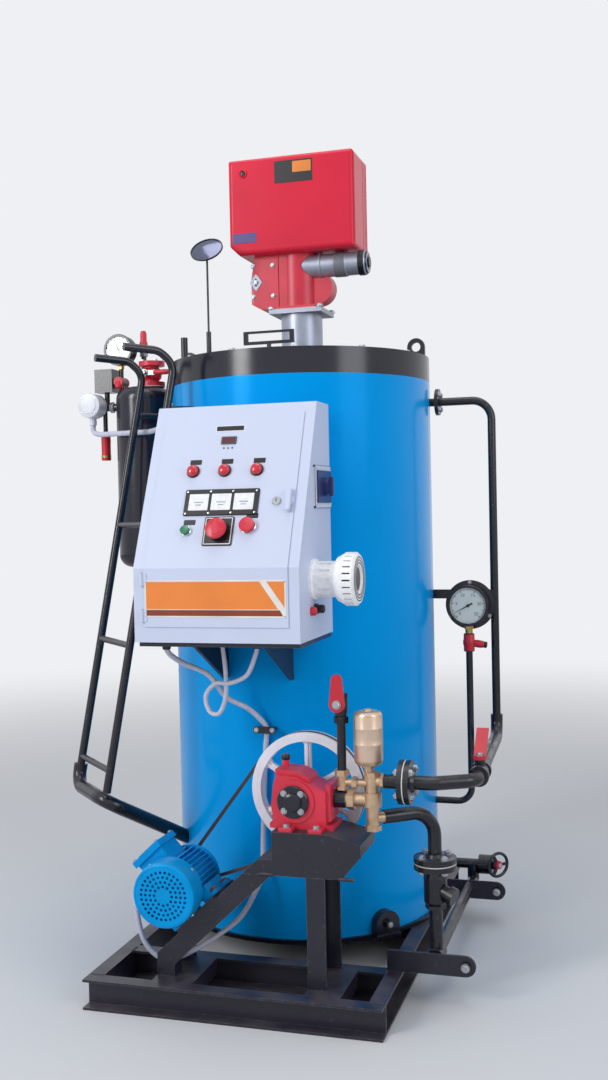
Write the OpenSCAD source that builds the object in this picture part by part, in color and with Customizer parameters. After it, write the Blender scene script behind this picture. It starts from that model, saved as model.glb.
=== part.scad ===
/* [Skid] */
// How far each side rail stands out past the casing
rail_overhang = 3; // [0:1:60]
// Distance from the boiler's centre to the front edge of the skid
skid_front = 724; // [680:2:820]
// Distance from the boiler's centre to the rear edge of the skid
skid_back = 400; // [396:2:480]
// Height of the rolled channel that the skid is made of
channel_h = 75; // [60:1:100]
// Width of the channel's flanges
channel_flange = 40; // [30:1:50]
// Thickness of the channel's web and flanges
channel_t = 6; // [4:0.5:9]
// Width of the flat channel under the motor end of the pump stand
motor_rail_w = 105; // [90:1:130]
// Width of the flat channel under the post end of the pump stand
pump_rail_w = 88; // [75:1:110]

/* [Boiler] */
// Outer diameter of the boiler's casing
casing_d = 750; // [720:2:756]
// Thickness of the casing's sheet
casing_t = 5; // [3:0.5:8]
// Thickness of the base plate under the casing
base_plate_t = 11; // [8:1:16]
// Height of the blue part of the casing
casing_h = 1492; // [1400:2:1600]
// Height of the black ring on top of the casing
ring_h = 70; // [50:1:90]
// Thickness of the black top cover inside the ring
cover_t = 10; // [6:1:14]
// Outer diameter of the burner's blast tube
blast_tube_d = 120; // [100:1:140]
// Height of the burner's flange above the top cover
blast_tube_rise = 138; // [110:1:180]
// Outer diameter of the flue collar at the rear
flue_d = 150; // [120:2:200]

/* [Burner] */
// Width of the burner's cover
burner_w = 374; // [330:2:400]
// Height of the burner's cover
burner_h = 275; // [240:1:300]
// Depth of the burner's cover
burner_depth = 170; // [140:2:200]
// Diameter of the round casting under the cover
burner_neck_d = 114; // [100:1:118]
// Height of the round casting under the cover
burner_neck_h = 160; // [140:1:190]

/* [Panel] */
// Width of the control panel
panel_w = 422; // [380:2:460]
// Height of the control panel
panel_h = 583; // [540:1:640]
// Depth of the control panel at its foot
panel_depth = 290; // [260:2:330]
// Depth of the control panel at its top
panel_top_depth = 106; // [90:1:130]
// Height of the upright lower part of the panel's front
panel_kink_h = 180; // [140:1:200]
// Thickness of the panel's sheet
panel_t = 2.5; // [1.5:0.5:4]
// Gap between the casing and the panel's back at the nearest point
panel_gap = 20; // [12:1:40]

/* [Pump] */
// Outer diameter of the flywheel
flywheel_d = 292; // [260:2:300]
// Width of the flywheel's rim
flywheel_w = 34; // [26:1:40]
// Thickness of the flywheel's rim, measured along its radius
rim_t = 23; // [18:1:28]
// Diameter of the crankshaft
crankshaft_d = 24; // [18:1:30]
// Height of the crankshaft above the ground
crank_z = 515; // [500:1:540]
// Diameter of the motor's fan cowl
cowl_d = 160; // [140:2:166]
// Height of the motor's shaft above its feet
motor_foot_h = 80; // [76:1:90]
// Diameter of the motor's shaft
motor_shaft_d = 19; // [14:1:24]
// Diameter of the motor's pulley
pulley_d = 72; // [60:1:90]
// Outer diameter of the bronze air vessel
air_vessel_d = 70; // [56:1:80]

/* [Pipework] */
// Outer diameter of the suction, discharge and supply pipes
pipe_d = 34; // [30:0.5:38]
// Outer diameter of the riser and of the gauge pipe
riser_d = 23; // [20:0.5:28]
// Outer diameter of the pipe flanges
pipe_flange_d = 106; // [96:1:116]
// Thickness of one pipe flange
pipe_flange_t = 13; // [10:0.5:16]
// Diameter of the gauge's back flange
gauge_flange_d = 140; // [120:1:150]

/* [Ladder] */
// Outer diameter of the ladder's tubes
ladder_tube_d = 22; // [18:1:28]
// Distance between the ladder's two stringers
ladder_w = 236; // [200:2:300]
// Outer diameter of the pipe at the ladder's foot
foot_pipe_d = 38; // [32:1:46]

/* [Running clearances] */
// Gap round shafts in their bearings
shaft_gap = 0.1; // [0.05:0.01:0.1]
// Gap between a moving handle and the valve under it
handle_gap = 1; // [0.5:0.1:3]
// Gap between the panel's door and the cabinet
door_gap = 1; // [0.6:0.1:3]

/* [Hidden] */
$fn = 48;

casing_r = casing_d / 2;
skid_w = casing_d + 2 * rail_overhang;
z_base = channel_h + base_plate_t;
z_ring = z_base + casing_h;
z_top = z_ring + ring_h;
rail_inner_x = skid_w / 2 - channel_flange;

crank_x = 142;
wheel_y = -480;
pump_y = -560;
motor_x = -163;
motor_z = 293;
pulley_r = pulley_d / 2;
groove_depth = 8;
belt_t = 8;
belt_w = 13;
belt_foot_w = 7.2;
groove_gap = 0.8;
belt_r_wheel = flywheel_d / 2 - groove_depth + 0.5;
belt_r_motor = pulley_r - groove_depth + 0.5;

brace_angle = 43;
brace_w = 50;
member = 46;
member_t = 6;
stand_front_y = -650;
stand_rear_y = -505;
motor_plate_t = 8;

function unit(v) = v / norm(v);

// A rolled channel's outline with its web on the Y axis and its flanges pointing to -X
module channel_outline(h = channel_h, f = channel_flange, t = channel_t) {
    polygon([[0, 0], [0, h], [-f, h], [-f, h - t], [-t, h - t], [-t, t], [-f, t], [-f, 0]]);
}

// A channel that runs along X, centred, with its flanges pointing to -Y and its web's back at Y = 0
module channel_along_x(length) {
    translate([-length / 2, 0, 0]) rotate([90, 0, 90]) linear_extrude(length) channel_outline();
}

// A round bar or pipe from one point to another
module rod(p, q, d) {
    v = q - p;
    translate(p)
        rotate([0, acos(v[2] / norm(v)), atan2(v[1], v[0])])
            cylinder(h = norm(v), d = d);
}

// A pipe through a list of points: straight lengths joined by round bends a little thinner than the pipe
module pipe_run(points, d, bend_r) {
    last = len(points) - 1;
    dirs = [for (i = [0 : last - 1]) unit(points[i + 1] - points[i])];
    turns = [for (i = [1 : last - 1]) acos(dirs[i - 1] * dirs[i])];
    cuts = concat([0], [for (a = turns) bend_r * tan(a / 2)], [0]);
    for (i = [0 : last - 1]) rod(points[i] + dirs[i] * cuts[i], points[i + 1] - dirs[i] * cuts[i + 1], d);
    for (i = [1 : last - 1]) bend(points[i], dirs[i - 1], dirs[i], turns[i - 1], d - 0.6, bend_r);
}

// One bend at a corner: it turns from direction u to direction v through an angle
module bend(corner, u, v, angle, d, bend_r) {
    inward = unit(v - u);
    centre = corner + inward * bend_r / cos(angle / 2);
    x = unit(corner - u * bend_r * tan(angle / 2) - centre);
    z = cross(x, u);
    over = 1.5;
    multmatrix([
        [x[0], u[0], z[0], centre[0]],
        [x[1], u[1], z[1], centre[1]],
        [x[2], u[2], z[2], centre[2]],
        [0, 0, 0, 1]
    ]) rotate(-over) rotate_extrude(angle = angle + 2 * over) translate([bend_r, 0]) circle(d = d);
}

// A point on a smooth curve between b and c, with a and d as their neighbours
function curve_point(a, b, c, d, t) =
    0.5 * (2 * b + (c - a) * t + (2 * a - 5 * b + 4 * c - d) * t * t + (3 * b - a - 3 * c + d) * t * t * t);

// A list of points joined by a smooth curve, with a number of steps between each two of them
function smooth_path(p, steps) = concat([for (i = [0 : len(p) - 2], k = [0 : steps - 1])
    curve_point(p[max(i - 1, 0)], p[i], p[i + 1], p[min(i + 2, len(p) - 1)], k / steps)], [p[len(p) - 1]]);

// Each ring's side direction, carried along the curve without twist
function side_dirs(t, start, i = 0, done = []) = i == len(t) ? done :
    side_dirs(t, start, i + 1, concat(done, [
        unit((i == 0 ? start : done[i - 1]) - t[i] * ((i == 0 ? start : done[i - 1]) * t[i]))]));

// A soft cable or conduit along a smooth curve
module cable(path, d, steps = 3, sides = 10) {
    p = smooth_path(path, steps);
    n = len(p);
    t = [for (i = [0 : n - 1]) unit(p[min(i + 1, n - 1)] - p[max(i - 1, 0)])];
    a = side_dirs(t, unit([0.6, -0.8, 0.1]));
    rings = [for (i = [0 : n - 1], k = [0 : sides - 1])
        p[i] + (a[i] * cos(k * 360 / sides) + cross(t[i], a[i]) * sin(k * 360 / sides)) * d / 2];
    walls = [for (i = [0 : n - 2], k = [0 : sides - 1]) [i * sides + k, (i + 1) * sides + k,
        (i + 1) * sides + (k + 1) % sides, i * sides + (k + 1) % sides]];
    triangles = [for (w = walls, h = [0, 1]) h == 0 ? [w[0], w[1], w[2]] : [w[0], w[2], w[3]]];
    polyhedron(rings, concat(triangles, [[for (k = [0 : sides - 1]) k]],
        [[for (k = [0 : sides - 1]) n * sides - 1 - k]]));
}

// A quarter of a pipe bend in the XZ plane: it starts at the origin going +X and ends going -Z
module quarter_bend(bend_r, d) {
    translate([0, 0, -bend_r]) rotate([90, 0, 0])
        rotate_extrude(angle = 90) translate([bend_r, 0]) circle(d = d);
}

// A pipe flange along +Z with bolt holes; its neck stands on the side given as +1 or -1
module pipe_flange(side = 1, d = pipe_flange_d, t = pipe_flange_t) {
    difference() {
        cylinder(h = t, d = d);
        for (a = [45 : 90 : 315]) rotate(a) translate([d * 0.37, 0, -1]) cylinder(h = t + 2, d = 14);
    }
    translate([0, 0, side > 0 ? t : -8]) cylinder(h = 8, d1 = side > 0 ? pipe_d + 16 : pipe_d + 6,
        d2 = side > 0 ? pipe_d + 6 : pipe_d + 16);
}

module hexagon(h, af) {
    cylinder(h = h, d = af / cos(30), $fn = 6);
}

module skid_end_rails() {
    color("#1b1b20") {
        translate([0, -skid_front + channel_flange, 0]) channel_along_x(skid_w);
        translate([0, skid_back - channel_flange, 0]) mirror([0, 1, 0]) channel_along_x(skid_w);
    }
}

module side_rail() {
    length = skid_front + skid_back - 2 * channel_flange;
    translate([-rail_inner_x, skid_back - channel_flange, 0])
        rotate([90, 0, 0]) linear_extrude(length) channel_outline();
}

module skid_side_rails() {
    color("#1b1b20") {
        side_rail();
        mirror([1, 0, 0]) side_rail();
    }
}

cross_front_y = -475;
cross_mid_y = 20;

stand_left_x = -209;
stand_right_x = 180;

module saddle(x, w) {
    back = cross_front_y - channel_flange;
    front = -skid_front + channel_flange;
    translate([x, back, channel_h - channel_flange])
        rotate([90, 0, 0]) linear_extrude(back - front) difference() {
            square([w, channel_flange]);
            translate([channel_t, -1]) square([w - 2 * channel_t, channel_flange - channel_t + 1]);
        }
}

module skid_cross_members() {
    color("#1b1b20") {
        for (y = [cross_front_y, cross_mid_y]) translate([0, y, 0]) channel_along_x(2 * rail_inner_x);
        saddle(stand_left_x, motor_rail_w);
        saddle(stand_right_x, pump_rail_w);
    }
}

clamp_turn = -43;
clamp_w = 74;

// The clamp that holds the casing's foot down, with its bolt
module foot_clamp() {
    translate([casing_r + 0.1, 0, z_base - 1]) rotate([90, 0, 90]) linear_extrude(26) {
        translate([-clamp_w / 2, 0]) square([clamp_w, 25]);
        translate([0, 25]) circle(d = clamp_w);
    }
    translate([casing_r + 25, 0, z_base + 27]) rotate([0, 90, 0]) hexagon(12, 24);
}

module boiler_base_plate() {
    color("#17171b") {
        translate([0, 0, channel_h]) linear_extrude(base_plate_t) {
            circle(r = casing_r + 10, $fn = 96);
            rotate(clamp_turn) translate([casing_r - 20, -clamp_w / 2]) square([54, clamp_w]);
        }
        rotate([0, 0, clamp_turn]) foot_clamp();
    }
}

flue_z = z_ring - 178;
flue_len = 90;

module boiler_casing() {
    color("#0f94e0") difference() {
        translate([0, 0, z_base]) cylinder(h = casing_h, r = casing_r, $fn = 96);
        translate([0, 0, z_base - 1]) cylinder(h = casing_h + 2, r = casing_r - casing_t, $fn = 96);
        flue_bore();
    }
}

module casing_top_ring() {
    color("#17171b") translate([0, 0, z_ring]) difference() {
        cylinder(h = ring_h, r = casing_r, $fn = 96);
        translate([0, 0, -1]) cylinder(h = ring_h + 2, r = casing_r - casing_t, $fn = 96);
    }
}

blast_x = 8;

module casing_top_cover() {
    color("#17171b") translate([0, 0, z_top - cover_t]) difference() {
        cylinder(h = cover_t, r = casing_r - casing_t, $fn = 96);
        translate([blast_x, 0, -1]) cylinder(h = cover_t + 2, d = blast_tube_d);
    }
}

lug_w = 50;
lug_t = 12;
lug_hole_d = 26;
lug_hole_z = 27;

module lug() {
    rotate([90, 0, 0]) linear_extrude(lug_t, center = true) difference() {
        union() {
            translate([-lug_w / 2, 0]) square([lug_w, lug_hole_z]);
            translate([0, lug_hole_z]) circle(d = lug_w);
        }
        translate([0, lug_hole_z]) circle(d = lug_hole_d);
    }
}

module lifting_lugs() {
    color("#17171b") for (s = [-1, 1]) translate([s * (casing_r - casing_t - lug_w / 2), 0, z_top]) lug();
}

hatch_x = -65;
hatch_y = -170;
hatch_loop_y = -250;
hatch_loop_x = -13;
loop_w = 144;
loop_h = 36;
loop_bar = 12;

module top_fittings() {
    color("#c9ccd4") translate([hatch_x, hatch_y, z_top]) {
        cylinder(h = 12, d = 110);
        translate([0, 0, 12]) cylinder(h = 14, d1 = 96, d2 = 40, $fn = 40);
    }
    color("#17171b") {
        translate([hatch_loop_x, hatch_loop_y, z_top]) {
            cylinder(h = 26, d = 12);
            translate([-loop_w / 2, -4, 26]) cube([loop_w, 8, 8]);
            translate([-loop_w / 2, -4, 26 + loop_h - 6]) cube([loop_w, 8, 6]);
            for (s = [-1, 1]) translate([s * (loop_w - loop_bar) / 2 - loop_bar / 2, -4, 26])
                cube([loop_bar, 8, loop_h]);
        }
        rod([-318, -110, z_top], [-318, -110, z_top + 80], 20);
    }
}

mirror_x = -226;
mirror_y = -150;
mirror_z = 1966;
mirror_d = 96;

module inspection_mirror() {
    color("#3a3d55") {
        translate([mirror_x, mirror_y, z_top]) cylinder(h = 86, d = 14);
        translate([mirror_x, mirror_y, z_top]) cylinder(h = mirror_z - z_top, d = 6);
        translate([mirror_x, mirror_y, mirror_z]) rotate([50, 0, 0]) rotate_extrude() polygon([[0, -3],
            [mirror_d / 2 - 3, -3], [mirror_d / 2, 0], [mirror_d / 2, 4], [mirror_d / 2 - 3, 4], [mirror_d / 2 - 3, 1], [0, 1]]);
    }
}

// The flue's passage along Y, which the casing and the collar share
module flue_bore() {
    translate([0, casing_r - 60, flue_z]) rotate([-90, 0, 0]) cylinder(h = flue_len + 80, d = flue_d - 8);
}

module flue_collar() {
    color("#17171b") difference() {
        translate([0, casing_r - 20, flue_z]) rotate([-90, 0, 0]) {
            cylinder(h = flue_len + 20, d = flue_d);
            cylinder(h = 32, d = flue_d + 50);
        }
        cylinder(h = 3000, r = casing_r + 0.02, $fn = 96);
        flue_bore();
    }
}

tube_depth = 120;
burner_flange_t = 12;
z_flange = z_top + blast_tube_rise;
z_neck = z_flange + burner_flange_t;
z_cover = z_neck + burner_neck_h;

module blast_tube() {
    color("#b9bdc6") {
        translate([blast_x, 0, z_top - cover_t - tube_depth])
            difference() {
                cylinder(h = tube_depth + cover_t + blast_tube_rise, d = blast_tube_d);
                translate([0, 0, -1]) cylinder(h = tube_depth, d = blast_tube_d - 8);
            }
        translate([blast_x - 78, -70, z_flange]) cube([156, 140, burner_flange_t]);
    }
}

lobe_left = -135;
lobe_w = 120;
lobe_depth = 104;

module burner_body() {
    column_x = blast_x - 4;
    color("#d2304a") difference() {
        union() {
            translate([column_x, 0, z_neck]) cylinder(h = burner_neck_h, d = burner_neck_d);
            intersection() {
                translate([0, lobe_depth / 2, 0]) rotate([90, 0, 0]) linear_extrude(lobe_depth) polygon([
                    [lobe_left + lobe_w, z_neck + 6], [lobe_left + 36, z_neck + 6], [lobe_left, z_neck + 26],
                    [lobe_left, z_neck + 96], [lobe_left + 6, z_neck + 116], [lobe_left + 17, z_neck + 134],
                    [lobe_left + 19, z_cover], [lobe_left + lobe_w, z_cover]]);
                translate([0, 0, z_neck]) linear_extrude(burner_neck_h) polygon([
                    [lobe_left, -lobe_depth / 2 + 22], [lobe_left + 14, -lobe_depth / 2], [lobe_left + lobe_w, -lobe_depth / 2],
                    [lobe_left + lobe_w, lobe_depth / 2], [lobe_left + 14, lobe_depth / 2], [lobe_left, lobe_depth / 2 - 22]]);
            }
            translate([column_x + 58, 26, z_neck + 62]) rotate([90, 0, 0]) cylinder(h = 52, r = 47);
            translate([blast_x - 70, -62, z_neck]) cube([128, 124, 10]);
        }
        translate([blast_x - 53, -lobe_depth / 2 - 1, z_neck + 12]) cube([2.5, 4, burner_neck_h - 12]);
        motor_space();
    }
}

cover_x = 5;
cover_corner = 14;

cover_chamfer = 30;
cover_split = [22, 46, 62];

// A rectangle centred on X with round corners
module round_rectangle(w, h, r) {
    translate([-w / 2 + r, 0]) square([w - 2 * r, h]);
    translate([-w / 2, r]) square([w, h - 2 * r]);
    for (x = [-w / 2 + r, w / 2 - r], y = [r, h - r]) translate([x, y]) circle(r = r);
}

// The cover's front outline, with its lower left corner cut off, smaller all round by an inset
module cover_front(inset) {
    w = burner_w - 2 * inset;
    h = burner_h - 2 * inset;
    translate([0, inset]) difference() {
        round_rectangle(w, h, cover_corner);
        translate([-w / 2, 0]) polygon([[-5, -5], [cover_chamfer, -5], [cover_chamfer, 0], [0, cover_chamfer], [-5, cover_chamfer]]);
    }
}

module burner_cover() {
    half = burner_depth / 2;
    color("#d2304a") translate([cover_x, 0, z_cover]) difference() {
        intersection() {
            translate([0, half, 0]) rotate([90, 0, 0]) linear_extrude(burner_depth) cover_front(0);
            linear_extrude(burner_h) translate([0, -half]) round_rectangle(burner_w, burner_depth, cover_corner);
            translate([-burner_w / 2, 0, 0]) rotate([90, 0, 90]) linear_extrude(burner_w)
                round_rectangle(burner_depth, burner_h, cover_corner);
        }
        for (y = cover_split) translate([0, y + 4, 0]) rotate([90, 0, 0]) linear_extrude(4) difference() {
            translate([-burner_w, -10]) square([2 * burner_w, burner_h + 20]);
            cover_front(3.5);
        }
    }
}

burner_motor_z = z_neck + 124;

burner_motor_y = -20;
burner_motor_d = 66;

// The room that the casting leaves for the motor
module motor_space() {
    translate([blast_x + 12, burner_motor_y, burner_motor_z]) rotate([0, 90, 0]) {
        cylinder(h = 300, d = burner_motor_d + 0.6);
        translate([0, 0, 51.7]) cylinder(h = 8.6, d = burner_motor_d + 5.6);
    }
}

module burner_motor() {
    r = burner_motor_d / 2;
    color("#b9bdc6") difference() {
        translate([blast_x + 12, burner_motor_y, burner_motor_z]) rotate([0, 90, 0]) rotate_extrude() polygon([
            [0, 0.3], [r, 0.3], [r, 52], [r + 2.5, 52], [r + 2.5, 60], [r, 60], [r, 96], [r + 2, 98], [r + 2, 134], [r, 136],
            [r, 170], [r + 2.5, 170], [r + 2.5, 188], [r - 4, 196], [14, 196], [14, 200], [0, 200]]);
        translate([blast_x - 4, 0, z_neck - 1]) cylinder(h = burner_neck_h + 2, d = burner_neck_d + 0.6);
    }
}

panel_x = -21;
panel_back_y = -casing_r - panel_gap;
panel_z = 905;
panel_front_y = panel_back_y - panel_depth;
panel_top_y = panel_back_y - panel_top_depth;
door_t = 2;
door_margin_side = 27;
door_margin_top = 26;
door_margin_foot = 38;
door_w = panel_w - 2 * door_margin_side;
frame_lip = 22;
slope_dir = unit([panel_top_y - panel_front_y, panel_h - panel_kink_h]);
slope_normal = [-slope_dir[1], slope_dir[0]];

// The panel's side outline: X is the part's Y, Y is the part's Z; grown outward by a distance
function panel_outline(inset = 0) = [
    [panel_back_y - inset, panel_z + inset],
    [panel_front_y + inset, panel_z + inset],
    [panel_front_y + inset, panel_z + panel_kink_h],
    [panel_top_y + inset, panel_z + panel_h - inset],
    [panel_back_y - inset, panel_z + panel_h - inset]
];

module along_x(w) {
    translate([panel_x - w / 2, 0, 0]) rotate([90, 0, 90]) linear_extrude(w) children();
}

stud_len = 15;
plate_t = 3;
plate_margin = 30;

// A mounting rail of hat section along X with its back on Y = 0
module hat_rail(length) {
    rotate([90, 0, 90]) linear_extrude(length) polygon([[0, -13.5], [0, 13.5], [-6.5, 13.5], [-6.5, 17.5],
        [-7.5, 17.5], [-7.5, 12.5], [-1, 12.5], [-1, -12.5], [-7.5, -12.5], [-7.5, -17.5], [-6.5, -17.5], [-6.5, -13.5]]);
}

// The plate inside the cabinet that the relays would be fixed to, on four studs
module mounting_plate() {
    plate_y = panel_back_y - panel_t - stud_len;
    low = panel_z + plate_margin;
    high = panel_z + panel_h - plate_margin;
    translate([panel_x - panel_w / 2 + plate_margin, plate_y - plate_t, low])
        cube([panel_w - 2 * plate_margin, plate_t, high - low]);
    for (s = [-1, 1], z = [low + 20, high - 20]) rod([panel_x + s * (panel_w / 2 - plate_margin - 20), plate_y - 1, z],
        [panel_x + s * (panel_w / 2 - plate_margin - 20), panel_back_y - panel_t / 2, z], 8);
    for (share = [0.25, 0.55, 0.85]) translate([panel_x - panel_w / 2 + plate_margin + 20, plate_y - plate_t + 0.2,
        low + (high - low) * share]) hat_rail(panel_w - 2 * plate_margin - 40);
}

module panel_cabinet() {
    color("#dadde8") mounting_plate();
    color("#dadde8") difference() {
        along_x(panel_w) polygon(panel_outline());
        along_x(panel_w - 2 * panel_t) polygon(panel_outline(panel_t));
        along_x(door_w - 2 * frame_lip) polygon([
            [panel_front_y - 20, panel_z + door_margin_foot + frame_lip],
            [panel_back_y - 60, panel_z + door_margin_foot + frame_lip],
            [panel_back_y - 60, panel_z + panel_h - door_margin_top - frame_lip],
            [panel_top_y - 40, panel_z + panel_h - door_margin_top - frame_lip],
            [panel_front_y - 20, panel_z + panel_kink_h]
        ]);
    }
}

hinge_x = panel_x - door_w / 2 - 4;
hinge_y = panel_front_y - 6;
door_foot_z = panel_z + door_margin_foot;
door_top_z = panel_z + panel_h - door_margin_top;
kink_z = panel_z + panel_kink_h;
slope_share = (door_top_z - kink_z) / (panel_h - panel_kink_h);
door_top_y = panel_front_y + (panel_top_y - panel_front_y) * slope_share;

module panel_door() {
    color("#dadde8") {
        along_x(door_w) polygon([
            [panel_front_y - door_gap, door_foot_z],
            [panel_front_y - door_gap, kink_z],
            [door_top_y - door_gap, door_top_z],
            [door_top_y - door_gap - door_t, door_top_z],
            [panel_front_y - door_gap - door_t, kink_z],
            [panel_front_y - door_gap - door_t, door_foot_z]
        ]);
        for (z = [door_foot_z + 12, kink_z - 42]) translate([hinge_x, hinge_y, z]) {
            cylinder(h = 30, d = 8);
            translate([0, 1, 0]) cube([12, 2.5, 30]);
        }
    }
}

lamp_d = 30;

slope_len = (door_top_z - kink_z) / slope_dir[1];

// Places its children on the sloping front of the door, at a distance down the slope from its top edge
module on_slope(x, down) {
    translate([x, panel_front_y - door_gap - door_t, kink_z])
        rotate([90 - atan2(panel_top_y - panel_front_y, panel_h - panel_kink_h), 0, 0])
            translate([0, slope_len - down, 0.02]) children();
}

door_handle_x = panel_x + door_w / 2 - 14;

module push_button(d, h) {
    cylinder(h = 4, d = d + 4);
    translate([0, 0, 4]) cylinder(h = h, d = d);
}

module door_controls() {
    color("#c8202f") for (x = [-110, -27, 57]) on_slope(x, 156.4) push_button(lamp_d, 12);
    color("#1b1b20") {
        on_slope(-24, 224.4) translate([0, -18, 2]) cube([192, 70, 4], center = true);
        on_slope(-27, 38.4) translate([0, 0, 1.5]) cube([74, 16, 3], center = true);
        on_slope(-27, 72.4) translate([0, 0, 1.5]) cube([38, 17, 3], center = true);
        on_slope(-22, 319.4) translate([0, 0, 2]) cube([76, 76, 4], center = true);
        on_slope(door_handle_x, 242) {
            cylinder(h = 6, d = 26);
            translate([-7, -30, 6]) cube([14, 60, 8]);
        }
        on_slope(door_handle_x - 32, 242) {
            cylinder(h = 5, d = 20);
            translate([-2, -7, 5]) cube([4, 14, 2]);
        }
    }
    color("#2f7d68") on_slope(-107, 317.4) push_button(24, 10);
    color("#d83a50") {
        on_slope(-22, 319.4) {
            cylinder(h = 16, d = 30);
            translate([0, 0, 16]) cylinder(h = 12, d = 54);
        }
        on_slope(52, 307.4) push_button(38, 14);
    }
}

tray_t = 12;
tray_front = panel_front_y + 18;
gusset_drop = 118;

module panel_tray() {
    color("#1b1b20") difference() {
        union() {
            translate([panel_x - panel_w / 2 + 4, tray_front, panel_z - tray_t])
                cube([panel_w - 8, panel_back_y - tray_front, tray_t]);
            for (x = [-115, 70]) translate([x - 4, 0, 0]) rotate([90, 0, 90]) linear_extrude(8)
                polygon([[tray_front + 60, panel_z - tray_t], [-300, panel_z - tray_t],
                    [-300, panel_z - tray_t - gusset_drop], [-385, panel_z - tray_t - gusset_drop]]);
            for (z = [panel_z + 60, panel_z + panel_h - 90]) translate([-110, panel_back_y, z]) cube([180, 60, 30]);
        }
        cylinder(h = 3000, r = casing_r, $fn = 96);
    }
}

hooter_y = -560;
hooter_z = 1050;

hooter_d = 130;

module panel_hooter() {
    color("#f4f4f2") translate([panel_x + panel_w / 2, hooter_y, hooter_z]) rotate([0, 90, 0]) difference() {
        rotate_extrude() polygon([[0, 0], [50, 0], [50, 6], [44, 8], [44, 58], [54, 64], [hooter_d / 2 - 3, 80],
            [hooter_d / 2, 84], [hooter_d / 2, 108], [hooter_d / 2 - 6, 114], [34, 114], [30, 108], [0, 108]]);
        for (a = [0 : 15 : 345]) rotate(a) translate([hooter_d / 2 - 5, -2, 86]) cube([10, 4, 20]);
        for (a = [0 : 30 : 330]) rotate(a) translate([40, -4, 20]) cube([10, 8, 30]);
    }
}

isolator_y = -474;
isolator_z = 1276;

module panel_isolator() {
    color("#2a3a78") translate([panel_x + panel_w / 2, isolator_y, isolator_z]) {
        translate([0, -73, -53]) cube([5, 146, 106]);
        translate([5, -60, -40]) cube([4, 120, 80]);
        translate([9, 0, 0]) rotate([0, 90, 0]) {
            cylinder(h = 7, d = 46);
            translate([0, 0, 7]) cylinder(h = 5, d = 40);
            translate([-24, -6, 12]) cube([48, 12, 10]);
        }
    }
}

ladder_lean = 0.1934;
ladder_top_r = 430;
ladder_top_z = 1590;
ladder_u = 52;
foot_pipe_z = 462;
ladder_foot_z = 520;
ladder_normal = [-sqrt(0.5), -sqrt(0.5), 0];
ladder_across = [-sqrt(0.5), sqrt(0.5), 0];
hook_rise = 66;
hook_reach = 150;
rung_heights = [540, 868, 1188];
standoff_z = 1500;

// A point of the ladder: u runs along its rungs, z is the height and out is a distance away from its plane
function ladder_point(u, z, out = 0) =
    ladder_normal * (ladder_top_r + ladder_lean * (ladder_top_z - z) + out) + ladder_across * u + [0, 0, z];

module stringer(u, foot_z) {
    pipe_run([ladder_point(u, foot_z), ladder_point(u, ladder_top_z + 30),
        ladder_point(u, ladder_top_z + hook_rise, 50), ladder_point(u, ladder_top_z + hook_rise + 6, hook_reach)],
        ladder_tube_d, 48);
    difference() {
        rod(ladder_point(u, standoff_z), ladder_point(u, standoff_z, -140), ladder_tube_d * 0.8);
        cylinder(h = 3000, r = casing_r, $fn = 96);
    }
}

module ladder_stringers() {
    color("#1b1b20") {
        stringer(ladder_u + ladder_w / 2, ladder_foot_z);
        stringer(ladder_u - ladder_w / 2, foot_pipe_z + foot_pipe_d / 2 + 2.5);
    }
}

module ladder_rungs() {
    color("#1b1b20") difference() {
        for (z = rung_heights) rod(ladder_point(ladder_u - ladder_w / 2, z),
            ladder_point(ladder_u + ladder_w / 2, z), ladder_tube_d * 0.8);
        for (s = [-1, 1]) rod(ladder_point(ladder_u + s * ladder_w / 2, 400),
            ladder_point(ladder_u + s * ladder_w / 2, 1400), ladder_tube_d);
    }
}

module ladder_foot_pipe() {
    left = ladder_u + ladder_w / 2;
    right = ladder_u - ladder_w / 2;
    color("#1b1b20") difference() {
        pipe_run([ladder_point(left, ladder_foot_z), ladder_point(left, foot_pipe_z),
            ladder_point(right, foot_pipe_z), [-290, -210, 290]], foot_pipe_d, 42);
        cylinder(h = 3000, r = casing_r, $fn = 96);
    }
}

vessel_x = -490;
vessel_y = -20;
vessel_r = 84;
vessel_z = z_ring - 493;
vessel_h = 490;

head_h = 26;

head_round = 38;

module vessel_body() {
    translate([vessel_x, vessel_y, vessel_z - head_h]) round_tank(2 * vessel_r, vessel_h + 2 * head_h, head_round);
}

module separator_vessel() {
    color("#23232b") {
        vessel_body();
        translate([vessel_x, vessel_y, vessel_z - 120]) cylinder(h = 110, d = 30);
        translate([vessel_x, vessel_y, vessel_z - 96]) hexagon(26, 44);
        difference() {
            for (z = [vessel_z + 100, vessel_z + vessel_h - 90]) {
                rod([vessel_x, vessel_y, z], [-300, vessel_y, z], 48);
                rod([-casing_r - 12, vessel_y, z], [-casing_r + 20, vessel_y, z], 92);
            }
            cylinder(h = 3000, r = casing_r, $fn = 96);
        }
    }
}

valve_x = -462;
valve_z = vessel_z + vessel_h + head_h;

stem_d = 12;

// A stem boss with a bore that a lever's stem turns in, along +Z
module stem_boss(h, d) {
    difference() {
        cylinder(h = h, d = d);
        translate([0, 0, h - stem_depth]) cylinder(h = stem_depth + 1, d = stem_d + 2 * shaft_gap);
    }
}

stem_depth = 12;

// The stem that sits in that bore; the lever itself is drawn by its own module from Z = handle_gap up
module stem() {
    translate([0, 0, -stem_depth + handle_gap]) cylinder(h = stem_depth, d = stem_d);
}

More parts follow.
